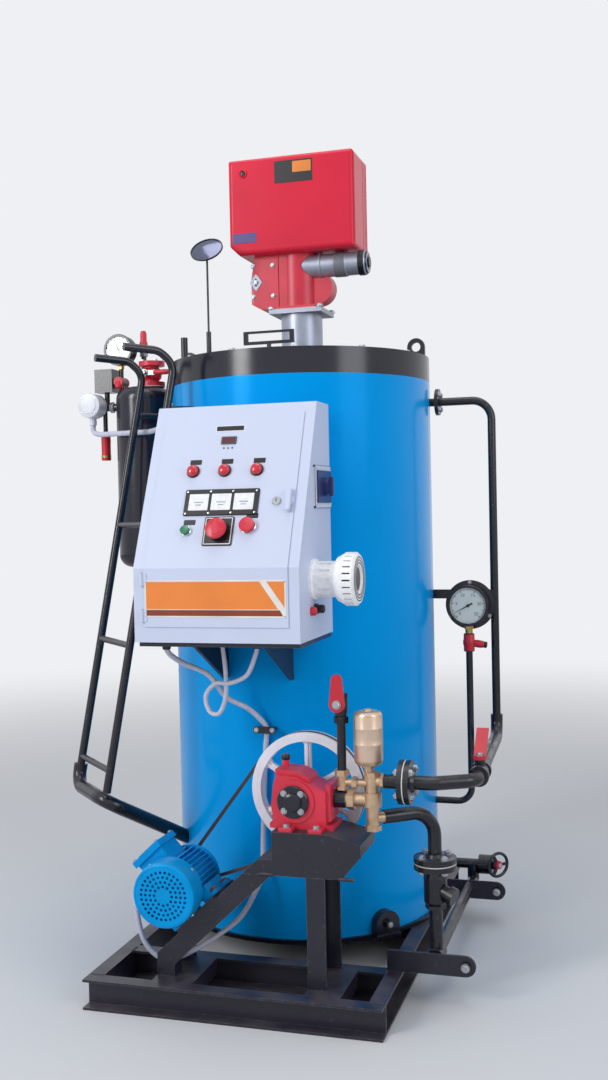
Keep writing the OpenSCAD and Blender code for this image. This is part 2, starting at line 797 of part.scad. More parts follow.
module steam_valve() {
    color("#b3202e") {
        translate([valve_x, vessel_y, valve_z]) rotate_extrude() polygon([[0, 0], [39, 0], [39, 14], [22, 16], [22, 20],
            [28, 26], [30, 38], [28, 50], [22, 56], [22, 60], [39, 62], [39, 76], [0, 76]]);
        translate([valve_x, vessel_y - 20, valve_z + 37]) rotate([90, 0, 0]) stem_boss(32, 24);
    }
}

module steam_valve_lever() {
    color("#b9bdc6") translate([valve_x, vessel_y - 52, valve_z + 37]) rotate([90, 0, 0]) {
        stem();
        translate([0, 0, handle_gap]) cylinder(h = 8, d = 22);
        translate([0, -7, handle_gap]) cube([80, 14, 5]);
    }
}

manifold_z = vessel_z + vessel_h - 30;
left_gauge_z = manifold_z + 172;
box_z = manifold_z + 45;
siphon_x = -612;
cock_x = -620;
left_gauge_x = -563;

module gauge_manifold() {
    color("#1b1b20") difference() {
        union() {
            rod([vessel_x - 50, vessel_y, manifold_z], [vessel_x - 150, vessel_y, manifold_z], 22);
            rod([left_gauge_x, vessel_y, manifold_z + 20], [left_gauge_x, vessel_y, left_gauge_z - 45], 14);
            rod([siphon_x, vessel_y, manifold_z], [siphon_x, vessel_y, box_z + 10], 16);
            translate([siphon_x - 29, vessel_y - 26, box_z]) cube([58, 52, 70]);
            rod([cock_x, vessel_y, manifold_z], [cock_x, vessel_y, manifold_z - 75], 14);
        }
        vessel_body();
    }
    color("#c8202f") {
        translate([left_gauge_x, vessel_y, manifold_z + 75]) rotate([90, 0, 0]) cylinder(h = 50, d = 30, center = true);
        translate([cock_x, vessel_y, manifold_z - 160]) cylinder(h = 86, d = 28);
    }
}

// A dial gauge along -Y: back flange, case, raised bezel and a recess for the dial
module gauge(d, flange_d, depth) {
    r = d / 2;
    rotate([90, 0, 0]) rotate_extrude($fn = 64) polygon([[0, 0], [flange_d / 2, 0], [flange_d / 2, 5], [r, 6],
        [r, depth - 9], [r + 2.5, depth - 8], [r + 2.5, depth - 2], [r + 1, depth], [r - 5, depth],
        [r - 5, depth - 7], [0, depth - 7]]);
}

module left_gauge() {
    color("#1b1b20") translate([left_gauge_x, vessel_y + 20, left_gauge_z]) gauge(90, 90, 42);
}

module pressure_switch() {
    color("#e9ebf2") translate([-645, vessel_y - 11, manifold_z + 4]) {
        rotate([90, 0, 0]) cylinder(h = 46, d = 74);
        translate([0, -23, -58]) cylinder(h = 30, d = 22);
    }
}

brace_dir = [cos(brace_angle), sin(brace_angle)];
brace_normal = [-sin(brace_angle), cos(brace_angle)];
brace_mid = [motor_x, motor_z] - brace_normal * (motor_foot_h + motor_plate_t);
bed_z = 343;
bed_top_z = 448;
beam_top_z = 380;

// The X of the brace's upper edge at height z
function brace_x(z) = brace_mid[0] + (z - brace_mid[1]) * brace_dir[0] / brace_dir[1];
brace_cut = brace_w / sin(brace_angle);

// One inclined brace with its foot, in the XZ plane
module brace() {
    foot_x = stand_left_x + member;
    rise = tan(brace_angle);
    rotate([90, 0, 0]) linear_extrude(member) polygon([
        [stand_left_x, channel_h],
        [foot_x, channel_h],
        [foot_x, brace_mid[1] + (foot_x - brace_cut - brace_mid[0]) * rise],
        [brace_x(bed_z) + brace_cut, bed_z],
        [brace_x(bed_z), bed_z],
        [stand_left_x, brace_mid[1] + (stand_left_x - brace_mid[0]) * rise]
    ]);
}

// An angle-iron post; its corner is at the stand's outer edge
module post() {
    linear_extrude(bed_z - channel_h) polygon([[0, 0], [member, 0], [member, member_t],
        [member_t, member_t], [member_t, member], [0, member]]);
}

module stand_legs() {
    color("#1b1b20") {
        translate([0, stand_front_y + member, 0]) brace();
        translate([0, stand_rear_y, 0]) brace();
        translate([stand_right_x, stand_front_y, channel_h]) post();
        translate([stand_right_x, stand_rear_y, channel_h]) mirror([0, 1, 0]) post();
        translate([brace_mid[0], 0, brace_mid[1]]) rotate([0, -brace_angle, 0])
            translate([-66, stand_front_y, 0]) cube([132, stand_rear_y - stand_front_y, motor_plate_t]);
    }
}

bed_left = brace_x(bed_z);
bed_right = 316;

module pump_bed() {
    depth = stand_rear_y - stand_front_y;
    color("#1b1b20") difference() {
        translate([0, stand_rear_y, 0]) rotate([90, 0, 0]) linear_extrude(depth) polygon([
            [bed_left, bed_z], [268, bed_z], [bed_right, bed_z + 57], [bed_right, bed_z + 85],
            [236, bed_top_z], [95, bed_top_z], [95, beam_top_z], [brace_x(beam_top_z), beam_top_z]]);
        translate([0, stand_rear_y - member_t, 0]) rotate([90, 0, 0]) linear_extrude(depth - 2 * member_t) polygon([
            [bed_left + 20, bed_z - 1], [262, bed_z - 1], [bed_right - 6, bed_z + 58], [bed_right - 6, bed_z + 81],
            [234, bed_top_z - 6], [101, bed_top_z - 6], [101, beam_top_z - 6], [brace_x(beam_top_z) + 4, beam_top_z - 6]]);
    }
}

motor_back_y = -525;
cowl_front_y = -712;
cowl_len = 60;
cowl_sheet = 3;
grille_depth = 16;
motor_core_d = 122;
fin_tip_d = 144;
fin_t = 3;
fin_pitch = 12;
frame_len = motor_back_y - cowl_front_y - cowl_len;

// The cowl's punched front: six-sided holes on rings
module grille_front() {
    difference() {
        circle(d = cowl_d - 10);
        for (ring = [2 : 5]) for (k = [0 : 6 * ring - 1]) rotate(k * 60 / ring) translate([ring * 11.5, 0]) circle(d = 8, $fn = 6);
    }
}

// The fan cowl along -Y: a round sheet shell with a turned-in front edge
module fan_cowl() {
    r = cowl_d / 2;
    rotate([90, 0, 0]) {
        difference() {
            rotate_extrude($fn = 64) polygon([[0, 0], [r, 0], [r, cowl_len - 7], [r - 2, cowl_len - 2], [r - 7, cowl_len],
                [0, cowl_len]]);
            translate([0, 0, cowl_len - grille_depth]) cylinder(h = grille_depth + 1, r = r - cowl_sheet - 4);
        }
        translate([0, 0, cowl_len - 4]) linear_extrude(3) grille_front();
    }
}

module motor_body() {
    color("#0f94e0") translate([motor_x, 0, motor_z]) {
        translate([0, motor_back_y + 16, 0]) rotate([90, 0, 0]) difference() {
            union() {
                rotate_extrude() polygon([[0, 0], [26, 0], [30, 4], [62, 8], [75, 10], [75, 18], [0, 18]]);
                translate([0, 0, 15]) cylinder(h = frame_len + 1, d = motor_core_d);
            }
            translate([0, 0, -1]) cylinder(h = 18, d = motor_shaft_d + 2 * shaft_gap);
        }
        rotate([0, -brace_angle, 0]) {
            intersection() {
                translate([0, motor_back_y, 0]) rotate([90, 0, 0]) cylinder(h = frame_len, d = fin_tip_d);
                union() {
                    for (z = [-5 * fin_pitch : fin_pitch : 5 * fin_pitch])
                        translate([-100, motor_back_y - frame_len, z - fin_t / 2]) cube([200, frame_len, fin_t]);
                }
            }
            for (s = [-1, 1]) {
                translate([s * 48 - 14, motor_back_y - 112, -motor_foot_h]) cube([28, 100, 34]);
                translate([s * 62 - 16, motor_back_y - 112, -motor_foot_h]) cube([32, 28, 10]);
                translate([s * 62 - 16, motor_back_y - 40, -motor_foot_h]) cube([32, 28, 10]);
            }
            translate([-40, motor_back_y - 111, 50]) cube([80, 88, 48]);
            translate([-46, motor_back_y - 117, 98]) cube([92, 100, 16]);
            translate([0, motor_back_y - 67, 114]) cube([60, 66, 5], center = true);
        }
        translate([0, cowl_front_y + cowl_len, 0]) fan_cowl();
    }
}

// A wheel with a V groove for the belt, turned about the Z axis
module grooved_wheel(d, w) {
    r = d / 2;
    flare = (belt_w - belt_foot_w) / 2 / belt_t;
    foot = belt_foot_w / 2 + groove_gap - 0.2;
    mouth = foot + groove_depth * flare;
    rotate_extrude($fn = 96) polygon([[0, 0], [r - 1.5, 0], [r, 1.5], [r, w / 2 - mouth], [r - groove_depth, w / 2 - foot],
        [r - groove_depth, w / 2 + foot], [r, w / 2 + mouth], [r, w - 1.5], [r - 1.5, w], [0, w]]);
}

module motor_rotor() {
    color("#9aa0aa") translate([motor_x, 0, motor_z]) {
        translate([0, wheel_y + flywheel_w / 2, 0]) rotate([90, 0, 0]) grooved_wheel(pulley_d, flywheel_w);
        translate([0, wheel_y + flywheel_w / 2 + 4, 0]) rotate([90, 0, 0])
            cylinder(h = wheel_y + flywheel_w / 2 + 4 - motor_back_y - 1, d = motor_shaft_d);
    }
}

// The belt's section: X is its height above its inner face, Y runs across it
module belt_section(inset = 0) {
    foot = belt_foot_w / 2 - inset;
    top = belt_w / 2 - inset;
    polygon([[inset, -foot], [belt_t - inset, -top], [belt_t - inset, top], [inset, foot]]);
}

wheel_at = [crank_x, crank_z];
motor_at = [motor_x, motor_z];
centre_gap = norm(motor_at - wheel_at);
to_motor = atan2(motor_z - crank_z, motor_x - crank_x);
wrap = acos((belt_r_wheel - belt_r_motor) / centre_gap);

module belt_arc(centre, r, start, span) {
    over = 1.2;
    translate(centre) rotate(start - over) rotate_extrude(angle = span + 2 * over, $fn = 128)
        translate([r, 0]) belt_section(0.12);
}

// The straight run on one side, from the flywheel to the motor's pulley
module belt_run(side) {
    a = to_motor + side * wrap;
    n = [cos(a), sin(a)];
    t = [side * n[1], -side * n[0]];
    p = wheel_at + belt_r_wheel * n;
    multmatrix([[n[0], 0, t[0], p[0]], [n[1], 0, t[1], p[1]], [0, side, 0, 0], [0, 0, 0, 1]])
        linear_extrude(centre_gap * sin(wrap)) belt_section();
}

module drive_belt() {
    color("#5a5358") translate([0, wheel_y, 0]) rotate([90, 0, 0]) {
        belt_arc(wheel_at, belt_r_wheel, to_motor + wrap, 360 - 2 * wrap);
        belt_arc(motor_at, belt_r_motor, to_motor - wrap, 2 * wrap);
        belt_run(1);
        belt_run(-1);
    }
}

hub_d = 56;
spoke_w = 15;

// One spoke along X, wide at both ends, with a raised rib along its middle
module spoke() {
    inner = hub_d / 2 - 4;
    outer = flywheel_d / 2 - rim_t + 2;
    translate([0, 0, flywheel_w / 2 - 7]) linear_extrude(14) polygon([[inner, -11], [inner + 14, -spoke_w / 2],
        [outer - 12, -spoke_w / 2], [outer, -14], [outer, 14], [outer - 12, spoke_w / 2],
        [inner + 14, spoke_w / 2], [inner, 11]]);
    translate([inner, -2.5, flywheel_w / 2 - 11]) cube([outer - inner - 1, 5, 22]);
}

module flywheel() {
    color("#d8dbe2") translate([crank_x, wheel_y + flywheel_w / 2, crank_z]) rotate([90, 0, 0]) {
        difference() {
            grooved_wheel(flywheel_d, flywheel_w);
            translate([0, 0, -1]) cylinder(h = flywheel_w + 2, d = flywheel_d - 2 * rim_t, $fn = 96);
        }
        translate([0, 0, -4]) cylinder(h = 4, d1 = hub_d - 8, d2 = hub_d);
        cylinder(h = flywheel_w, d = hub_d);
        translate([0, 0, flywheel_w]) cylinder(h = 4, d1 = hub_d, d2 = hub_d - 8);
        for (a = [30 : 60 : 330]) rotate(a) spoke();
        translate([0, 0, -8]) cylinder(h = flywheel_w + 68, d = crankshaft_d);
    }
}

case_front_y = -612;
case_back_y = -522;
head_left = 232;

gland_len = 28;
gland_d = 44;

module crankcase() {
    depth = case_back_y - case_front_y;
    color("#d2304a") difference() {
        union() {
            translate([0, case_back_y, 0]) rotate([90, 0, 0]) linear_extrude(depth) polygon([
                [84, 500], [92, 560], [100, 578], [150, 574], [175, 562], [head_left - 10, 540],
                [head_left - 10, bed_top_z + 12], [92, bed_top_z + 12]]);
            translate([80, case_front_y, bed_top_z]) cube([160, depth, 12]);
            translate([crank_x, case_back_y + 8, crank_z]) rotate([90, 0, 0]) cylinder(h = 102, d = 104);
            translate([head_left - 12, case_front_y + 8, bed_top_z + 20]) cube([12, depth - 16, 88]);
            translate([0, case_back_y - 8, 0]) rotate([90, 0, 0]) linear_extrude(depth - 16) polygon([
                [94, 572], [94, 590], [150, 586], [180, 572], [180, 560]]);
            translate([108, pump_y, 580]) cylinder(h = 26, d = 18);
            for (x = [88, 196]) translate([x, case_front_y, bed_top_z + 10]) cube([8, depth, 40]);
        }
        translate([crank_x, case_back_y + 9, crank_z]) rotate([90, 0, 0]) cylinder(h = 60, d = crankshaft_d + 2 * shaft_gap);
    }
}

module crank_cover() {
    color("#17171b") {
        translate([crank_x, case_front_y - 4, crank_z]) rotate([90, 0, 0]) {
            rotate_extrude() polygon([[0, 0], [39, 0], [39, 6], [37, 8], [24, 8], [22, 13], [17, 15], [0, 15]]);
            for (a = [45 : 90 : 315]) rotate(a) translate([30, 0, 7]) hexagon(5, 9);
        }
        rod([head_left, pump_y, crank_z], [head_left + gland_len, pump_y, crank_z], gland_d);
    }
}

head_x = 326;
tee_x = 251;
upper_z = 556;
discharge_z = 562;
suction_z = 471;
suction_x = 456;
suction_y = -456;
suction_dir = unit([suction_x - head_x, suction_y - pump_y, 0]);
suction_boss = 28;
vessel_foot_z = 600;

// A turned vessel along +Z with round shoulders
module round_tank(d, h, shoulder) {
    rotate_extrude() {
        square([d / 2 - shoulder, h]);
        translate([0, shoulder]) square([d / 2, h - 2 * shoulder]);
        for (z = [shoulder, h - shoulder]) translate([d / 2 - shoulder, z]) intersection() {
            circle(r = shoulder);
            translate([0, -shoulder]) square([shoulder, 2 * shoulder]);
        }
    }
}

// A hexagon along +X
module hex_x(x, z, h, af) {
    translate([x, pump_y, z]) rotate([0, 90, 0]) hexagon(h, af);
}

module pump_head() {
    color("#b8956a") {
        rod([head_left + gland_len, pump_y, crank_z], [head_x, pump_y, crank_z], 34);
        hex_x(head_left + gland_len + 6, crank_z, 16, 46);
        rod([head_x, pump_y, 448], [head_x, pump_y, 578], 32);
        rod([head_x, pump_y, 500], [head_x, pump_y, 534], 44);
        translate([head_x, pump_y, 442]) hexagon(12, 36);
        translate([head_x, pump_y, 574]) hexagon(10, 34);
        rod([tee_x, pump_y, upper_z], [head_x, pump_y, upper_z], 18);
        rod([tee_x, pump_y, upper_z - 14], [tee_x, pump_y, upper_z + 30], 25);
        translate([tee_x, pump_y, upper_z + 16]) hexagon(14, 32);
        translate([tee_x, pump_y, upper_z - 18]) hexagon(8, 28);
        hex_x(tee_x + 26, upper_z, 12, 26);
        rod([head_x, pump_y, discharge_z], [head_x + 30, pump_y, discharge_z], 24);
        hex_x(head_x + 21, discharge_z, 8, 32);
        rod([head_x, pump_y, suction_z], [head_x, pump_y, suction_z] + suction_dir * suction_boss, 28);
        translate([head_x - 8, pump_y, 560]) cylinder(h = vessel_foot_z - 558, d = 24);
        translate([head_x - 8, pump_y, vessel_foot_z]) round_tank(air_vessel_d, 132, 14);
        translate([head_x - 8, pump_y, vessel_foot_z + 131]) cylinder(h = 5, d = 16);
    }
}

relief_z = upper_z + 30;

cock_z = 750;
cock_reach = 30;

module relief_pipe() {
    color("#1b1b20") {
        rod([tee_x, pump_y, relief_z], [tee_x, pump_y, cock_z - 45], 22);
        translate([tee_x, pump_y, cock_z - 50]) hexagon(16, 32);
        translate([tee_x, pump_y, cock_z - 36]) cylinder(h = 18, d1 = 26, d2 = 34);
        translate([tee_x, pump_y, cock_z - 19]) cylinder(h = 30, d = 34);
        translate([tee_x, pump_y, cock_z + 10]) hexagon(12, 30);
        translate([tee_x, pump_y, cock_z]) rotate([90, 0, 0]) stem_boss(cock_reach, 24);
    }
}

module relief_lever() {
    color("#c8202f") translate([tee_x, pump_y - cock_reach, cock_z]) rotate([90, 0, 0]) {
        stem();
        translate([0, 0, handle_gap]) linear_extrude(9) hull() {
            circle(d = 38);
            translate([0, 60]) circle(d = 26);
        }
    }
}

flange_x = 394;
corner_x = 571;
corner_y = -508;
riser_x = 546;
riser_y = 63;

joint_rise = 62;
valve_y = -430;
valve_lift = 34;

module discharge_pipe() {
    a = [head_x + 30, pump_y, discharge_z];
    b = [flange_x, pump_y, discharge_z];
    c = [flange_x + 2 * pipe_flange_t + 3, pump_y, discharge_z];
    feed_x = corner_x + (riser_x - corner_x) * (valve_y - corner_y) / (riser_y - corner_y);
    run = unit([riser_x - corner_x, riser_y - corner_y, 0]);
    color("#17171b") {
        rod(a, b, pipe_d);
        translate(b) rotate([0, 90, 0]) pipe_flange(-1);
        translate(c - [pipe_flange_t, 0, 0]) rotate([0, 90, 0]) pipe_flange(1);
        translate(b + [pipe_flange_t, 0, 0]) rotate([0, 90, 0]) cylinder(h = 3, d = 76);
        pipe_run([c, c + [52, 0, 0], [corner_x, corner_y, discharge_z], [riser_x, riser_y, discharge_z],
            [riser_x, riser_y, discharge_z + joint_rise]], pipe_d, 46);
        for (side = [-1, 1]) rod([feed_x, valve_y, discharge_z] + side * run * 22,
            [feed_x, valve_y, discharge_z] + side * run * 40, 50);
        rod([feed_x, valve_y, discharge_z] - run * 24, [feed_x, valve_y, discharge_z] + run * 24, 43);
        translate([feed_x, valve_y, discharge_z]) stem_boss(valve_lift, 26);
    }
}

module feed_valve_lever() {
    feed_x = corner_x + (riser_x - corner_x) * (valve_y - corner_y) / (riser_y - corner_y);
    color("#c8202f") translate([feed_x, valve_y, discharge_z + valve_lift]) {
        stem();
        translate([0, 0, handle_gap]) cylinder(h = 9, d = 32);
        translate([-15, 0, handle_gap]) rotate([45, 0, 0]) cube([30, 88, 7]);
    }
}

riser_top_z = 1522;
riser_bend = 55;

module riser_pipe() {
    color("#17171b") difference() {
        union() {
            rod([riser_x, riser_y, discharge_z + joint_rise], [riser_x, riser_y, riser_top_z - riser_bend], riser_d);
            translate([riser_x - riser_bend, riser_y, riser_top_z]) quarter_bend(riser_bend, riser_d);
            rod([riser_x - riser_bend, riser_y, riser_top_z], [300, riser_y, riser_top_z], riser_d);
            rod([388, riser_y, riser_top_z], [398, riser_y, riser_top_z], 76);
            translate([340, gauge_y, 956]) cube([riser_x - 340, 6, 26]);
        }
        cylinder(h = 3000, r = casing_r, $fn = 96);
    }
}

gauge_x = 478;
gauge_z = 939;
gauge_y = riser_y - riser_d / 2 - 1;

module right_gauge() {
    color("#1b1b20") translate([gauge_x, gauge_y, gauge_z]) gauge(112, gauge_flange_d, 52);
}

gauge_pipe_z = 380;

module gauge_pipe() {
    y = gauge_y - 34;
    color("#1b1b20") difference() {
        union() {
            rod([gauge_x, y, gauge_z - 56], [gauge_x, y, gauge_z - 85], 16);
            rod([gauge_x, y, gauge_z - 80], [gauge_x, y, gauge_z - 130], 30);
            rod([gauge_x, y, gauge_z - 106], [gauge_x + 50, y, gauge_z - 112], 16);
            pipe_run([[gauge_x, y, gauge_z - 120], [gauge_x, y, gauge_pipe_z], [320, y, gauge_pipe_z]], 19, 40);
        }
        cylinder(h = 3000, r = casing_r, $fn = 96);
    }
}

suction_flange_z = 356;
suction_bend_r = 62;

module suction_bend() {
    start = [head_x, pump_y, suction_z] + suction_dir * suction_boss;
    color("#17171b") {
        pipe_run([start, [suction_x, suction_y, suction_z], [suction_x, suction_y, suction_flange_z]],
            pipe_d, suction_bend_r);
        translate([suction_x, suction_y, suction_flange_z - pipe_flange_t]) pipe_flange();
    }
}

strainer_top = suction_flange_z - pipe_flange_t;
supply_z = 112;
arm_top_z = channel_h + 6;

module suction_strainer() {
    color("#17171b") {
        translate([suction_x, suction_y, strainer_top - 3]) cylinder(h = 3, d = 76);
        translate([suction_x, suction_y, strainer_top - 3 - pipe_flange_t]) pipe_flange(-1);
        translate([suction_x, suction_y, 236]) rotate_extrude() polygon([[0, 0], [22, 0], [29, 10], [29, 70], [24, 91], [0, 91]]);
        translate([suction_x, suction_y, 228]) hexagon(10, 46);
        rod([suction_x, suction_y, 280], [suction_x + 40, suction_y - 14, 266], 34);
        rod([suction_x + 36, suction_y - 12.6, 267.4], [suction_x + 50, suction_y - 17.5, 262.5], 44);
        rod([suction_x, suction_y, 236], [suction_x, suction_y, supply_z], pipe_d);
        rod([suction_x, suction_y - 24, supply_z], [suction_x, suction_y + 28, supply_z], 42);
        rod([suction_x, suction_y, supply_z], [suction_x, suction_y, arm_top_z], 30);
    }
}

arm_x = 532;

supply_d = 30;
bracket_w = 60;
bracket_leg = 52;

module supply_bracket(start_x) {
    translate([start_x, -bracket_w / 2, channel_h]) cube([arm_x - start_x, bracket_w, 6]);
    translate([start_x, -bracket_w / 2 - 6, channel_h]) cube([arm_x - start_x, 6, bracket_leg]);
    translate([arm_x, -bracket_w / 2, channel_h + bracket_leg / 2]) rotate([90, 0, 0]) {
        cylinder(h = 6, d = bracket_leg, $fn = 48);
        translate([2, 0, 5]) hexagon(9, 17);
    }
}

module supply_brackets() {
    color("#1b1b20") difference() {
        union() {
            translate([0, suction_y, 0]) supply_bracket(rail_inner_x);
            translate([0, 130, 0]) supply_bracket(rail_inner_x);
        }
        cylinder(h = 3000, r = casing_r + 10.3, $fn = 96);
        rod([suction_x, -100, supply_z], [suction_x, 300, supply_z], supply_d + 0.6);
    }
}

valve_end_y = 160;
branch_z = 158;
wheel_z = 171;
wheel_reach = 52;

valve_mid_x = 494;

module supply_pipe() {
    color("#17171b") difference() {
        union() {
            rod([suction_x, suction_y + 28, supply_z], [suction_x, valve_end_y, supply_z], supply_d);
            rod([suction_x, valve_end_y, supply_z], [suction_x, valve_end_y, branch_z], 34);
            rod([300, valve_end_y, branch_z], [524, valve_end_y, branch_z], 29);
            rod([valve_mid_x - 20, valve_end_y, branch_z], [valve_mid_x + 20, valve_end_y, branch_z], 56);
            translate([valve_mid_x, valve_end_y, wheel_z]) rotate([90, 0, 45]) stem_boss(wheel_reach, 22);
        }
        cylinder(h = 3000, r = casing_r, $fn = 96);
    }
}

hand_wheel_d = 76;
hand_rim_d = 9;

module supply_wheel() {
    color("#c8202f") translate([valve_mid_x, valve_end_y, wheel_z]) rotate([90, 0, 45])
        translate([0, 0, wheel_reach]) {
            stem();
            translate([0, 0, handle_gap]) {
                cylinder(h = 12, d = 22);
                translate([0, 0, hand_rim_d / 2]) rotate_extrude() translate([(hand_wheel_d - hand_rim_d) / 2, 0]) circle(d = hand_rim_d);
                for (a = [0 : 120 : 240]) rotate(a) translate([0, -4, 1.5]) cube([(hand_wheel_d - hand_rim_d) / 2, 8, 6]);
                translate([0, 0, 11]) hexagon(5, 12);
            }
        }
}

cable_d = 14;
motor_lead = [
    [-184, -603, 892.7], [-184, -603, 886], [-184, -602, 878], [-178, -590, 862], [-160, -555, 838], [-114, -500, 802], [-86, -450, 738], [-40, -415, 704],
    [-6, -392, 664], [2, -388, 640], [-2, -388, 590], [-9, -390, 460], [-12, -400, 300], [-11, -410, 264],
    [-25, -450, 218], [-47, -490, 176], [-92, -532, 142], [-140, -574, 116], [-190, -578, 92], [-235, -578, 90],
    [-272, -585, 130], [-287, -592, 200], [-286, -597, 265], [-272, -598, 304], [-256, -598, 322]
];
hanging_loop = [
    [40, -560, 892.7], [40, -560, 886], [39, -559, 878], [30, -546, 860], [-3, -520, 806], [-56, -502, 782], [-100, -488, 778], [-130, -482, 744],
    [-120, -481, 704], [-92, -484, 702], [-72, -490, 748], [-68, -498, 810], [-70, -507, 866], [-70, -508, 878], [-70, -508, 886], [-70, -508, 892.7]
];

conduit_path = [
    [-645, -54, 1490.7], [-645, -54, 1486], [-645, -55, 1479], [-632, -66, 1466], [-605, -82, 1460], [-551, -114, 1458],
    [-470, -150, 1456], [-407, -168, 1456], [-333, -262, 1456], [-256, -338, 1456], [-251, -380, 1456],
    [-250, -412, 1456], [-242, -428, 1456], [-232, -430, 1456]
];

module panel_cables() {
    color("#cdd1d8") {
        cable(motor_lead, cable_d, 2, 8);
        cable(hanging_loop, cable_d - 2, 2, 8);
        cable(conduit_path, cable_d + 2, 2, 8);
    }
}

skid_end_rails();
skid_side_rails();
skid_cross_members();
boiler_base_plate();
boiler_casing();
casing_top_ring();
casing_top_cover();
lifting_lugs();
top_fittings();
inspection_mirror();
flue_collar();
blast_tube();
burner_body();
burner_cover();
burner_motor();
panel_cabinet();
panel_door();
door_controls();
panel_tray();
panel_hooter();
panel_isolator();
ladder_stringers();
ladder_rungs();
ladder_foot_pipe();
separator_vessel();
steam_valve();
steam_valve_lever();
gauge_manifold();
left_gauge();
pressure_switch();
stand_legs();
pump_bed();
motor_body();
motor_rotor();
drive_belt();
flywheel();
crankcase();
crank_cover();
pump_head();
relief_pipe();
relief_lever();
discharge_pipe();
feed_valve_lever();
riser_pipe();
right_gauge();
gauge_pipe();
suction_bend();
suction_strainer();
supply_brackets();
supply_pipe();
supply_wheel();
panel_cables();
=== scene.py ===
import math

import bmesh
import bpy
import numpy as np
from mathutils import Matrix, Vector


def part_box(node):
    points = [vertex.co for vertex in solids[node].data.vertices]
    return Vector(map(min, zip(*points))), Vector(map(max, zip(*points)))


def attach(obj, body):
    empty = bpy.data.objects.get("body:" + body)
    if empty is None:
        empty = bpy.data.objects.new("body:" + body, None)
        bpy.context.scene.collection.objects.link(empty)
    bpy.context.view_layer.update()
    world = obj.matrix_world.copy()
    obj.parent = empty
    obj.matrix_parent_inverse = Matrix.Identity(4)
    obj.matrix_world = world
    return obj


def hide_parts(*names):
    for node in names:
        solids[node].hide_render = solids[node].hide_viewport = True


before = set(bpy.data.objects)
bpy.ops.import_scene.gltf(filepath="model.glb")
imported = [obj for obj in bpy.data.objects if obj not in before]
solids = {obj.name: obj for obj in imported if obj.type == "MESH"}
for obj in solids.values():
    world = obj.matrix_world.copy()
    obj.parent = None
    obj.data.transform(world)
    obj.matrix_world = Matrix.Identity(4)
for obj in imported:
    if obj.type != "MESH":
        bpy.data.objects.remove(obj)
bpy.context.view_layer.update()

# ---- Camera, light and floor
# A phone held level with the panel's lamps, 3.5 m in front of the casing and turned 16.6 degrees to its left.
# The light is soft studio light from a wide lamp on each side and one above. The floor and backdrop are plain, and the
# floor pales into the backdrop with its distance. This section is in metres; the small pieces are in millimetres.
scene = bpy.context.scene
CAMERA_AT = (0.9896, -3.3196, 1.214)
CAMERA_TURN, CAMERA_DIP, CAMERA_ROLL = (math.radians(a) for a in (16.6, 1.36, 1.23))
FOCAL_PIXELS, PICTURE_HEIGHT, LONG_SIDE = 1180, 1080, 36
BACKDROP, FLOOR_HALF, FADE_START, FADE_END = "EEF0F3", 14, 1.6, 6.5


def shown(name, data, place=None):
    """Links a new object into the scene. Its place is its X, Y and Z axes and its origin."""
    made = bpy.data.objects.new(name, data)
    if place is not None:
        made.matrix_world = Matrix([*np.stack(place, -1).tolist(), (0, 0, 0, 1)])
    scene.collection.objects.link(made)
    return made


def linear(colour):
    """sRGB hex to linear light: c / 12.92 below 0.04045, and ((c + 0.055) / 1.055) to the power 2.4 above it."""
    c = np.array([int(colour[i:i + 2], 16) for i in (0, 2, 4)]) / 255
    return (*np.where(c <= 0.04045, c / 12.92, ((c + 0.055) / 1.055) ** 2.4).tolist(), 1.0)


def emptied(owner):
    """The node tree of a material or world, with nothing in it."""
    owner.use_nodes = True
    owner.node_tree.nodes.clear()
    return owner.node_tree


def add(tree, kind, sockets=None, **settings):
    """Adds one shader node with its settings. Each named or numbered input gets a value, or a link from an output or
    from a node's first output."""
    made = tree.nodes.new("ShaderNode" + kind)
    for key, value in settings.items():
        setattr(made, key, value)
    for key, value in (sockets or {}).items():
        if isinstance(value, bpy.types.Node):
            value = value.outputs[0]
        if isinstance(value, bpy.types.NodeSocket):
            tree.links.new(value, made.inputs[key])
        else:
            made.inputs[key].default_value = value
    return made


def ranged(tree, value, low, high, to_low=0.0, to_high=1.0, **settings):
    """Maps low..high to to_low..to_high, and holds the ends."""
    return add(tree, "MapRange", {"Value": value, "From Min": low, "From Max": high, "To Min": to_low,
                                  "To Max": to_high}, **settings)


def product(tree, a, b):
    """The product of two values."""
    return add(tree, "Math", {0: a, 1: b}, operation="MULTIPLY")


def shared_out(tree, output, share, under, over):
    """Ends a tree with two shaders: under x (1 - share) + over x share."""
    add(tree, output, {"Surface": add(tree, "MixShader", {0: share, 1: under, 2: over})})


def soft_lamp(name, at, size, power, colour, towards):
    """A rectangular area lamp that faces a point."""
    lamp = bpy.data.lights.new(name, "AREA")
    lamp.shape, lamp.size, lamp.size_y = "RECTANGLE", size[0], size[1]
    lamp.energy, lamp.color = power, linear(colour)[:3]
    away = np.array(at, float) - np.array(towards, float)
    away /= np.linalg.norm(away)
    side = np.cross((0, 0, 1), away)
    side /= np.linalg.norm(side)
    shown(name, lamp, (side, np.cross(away, side), away, at))


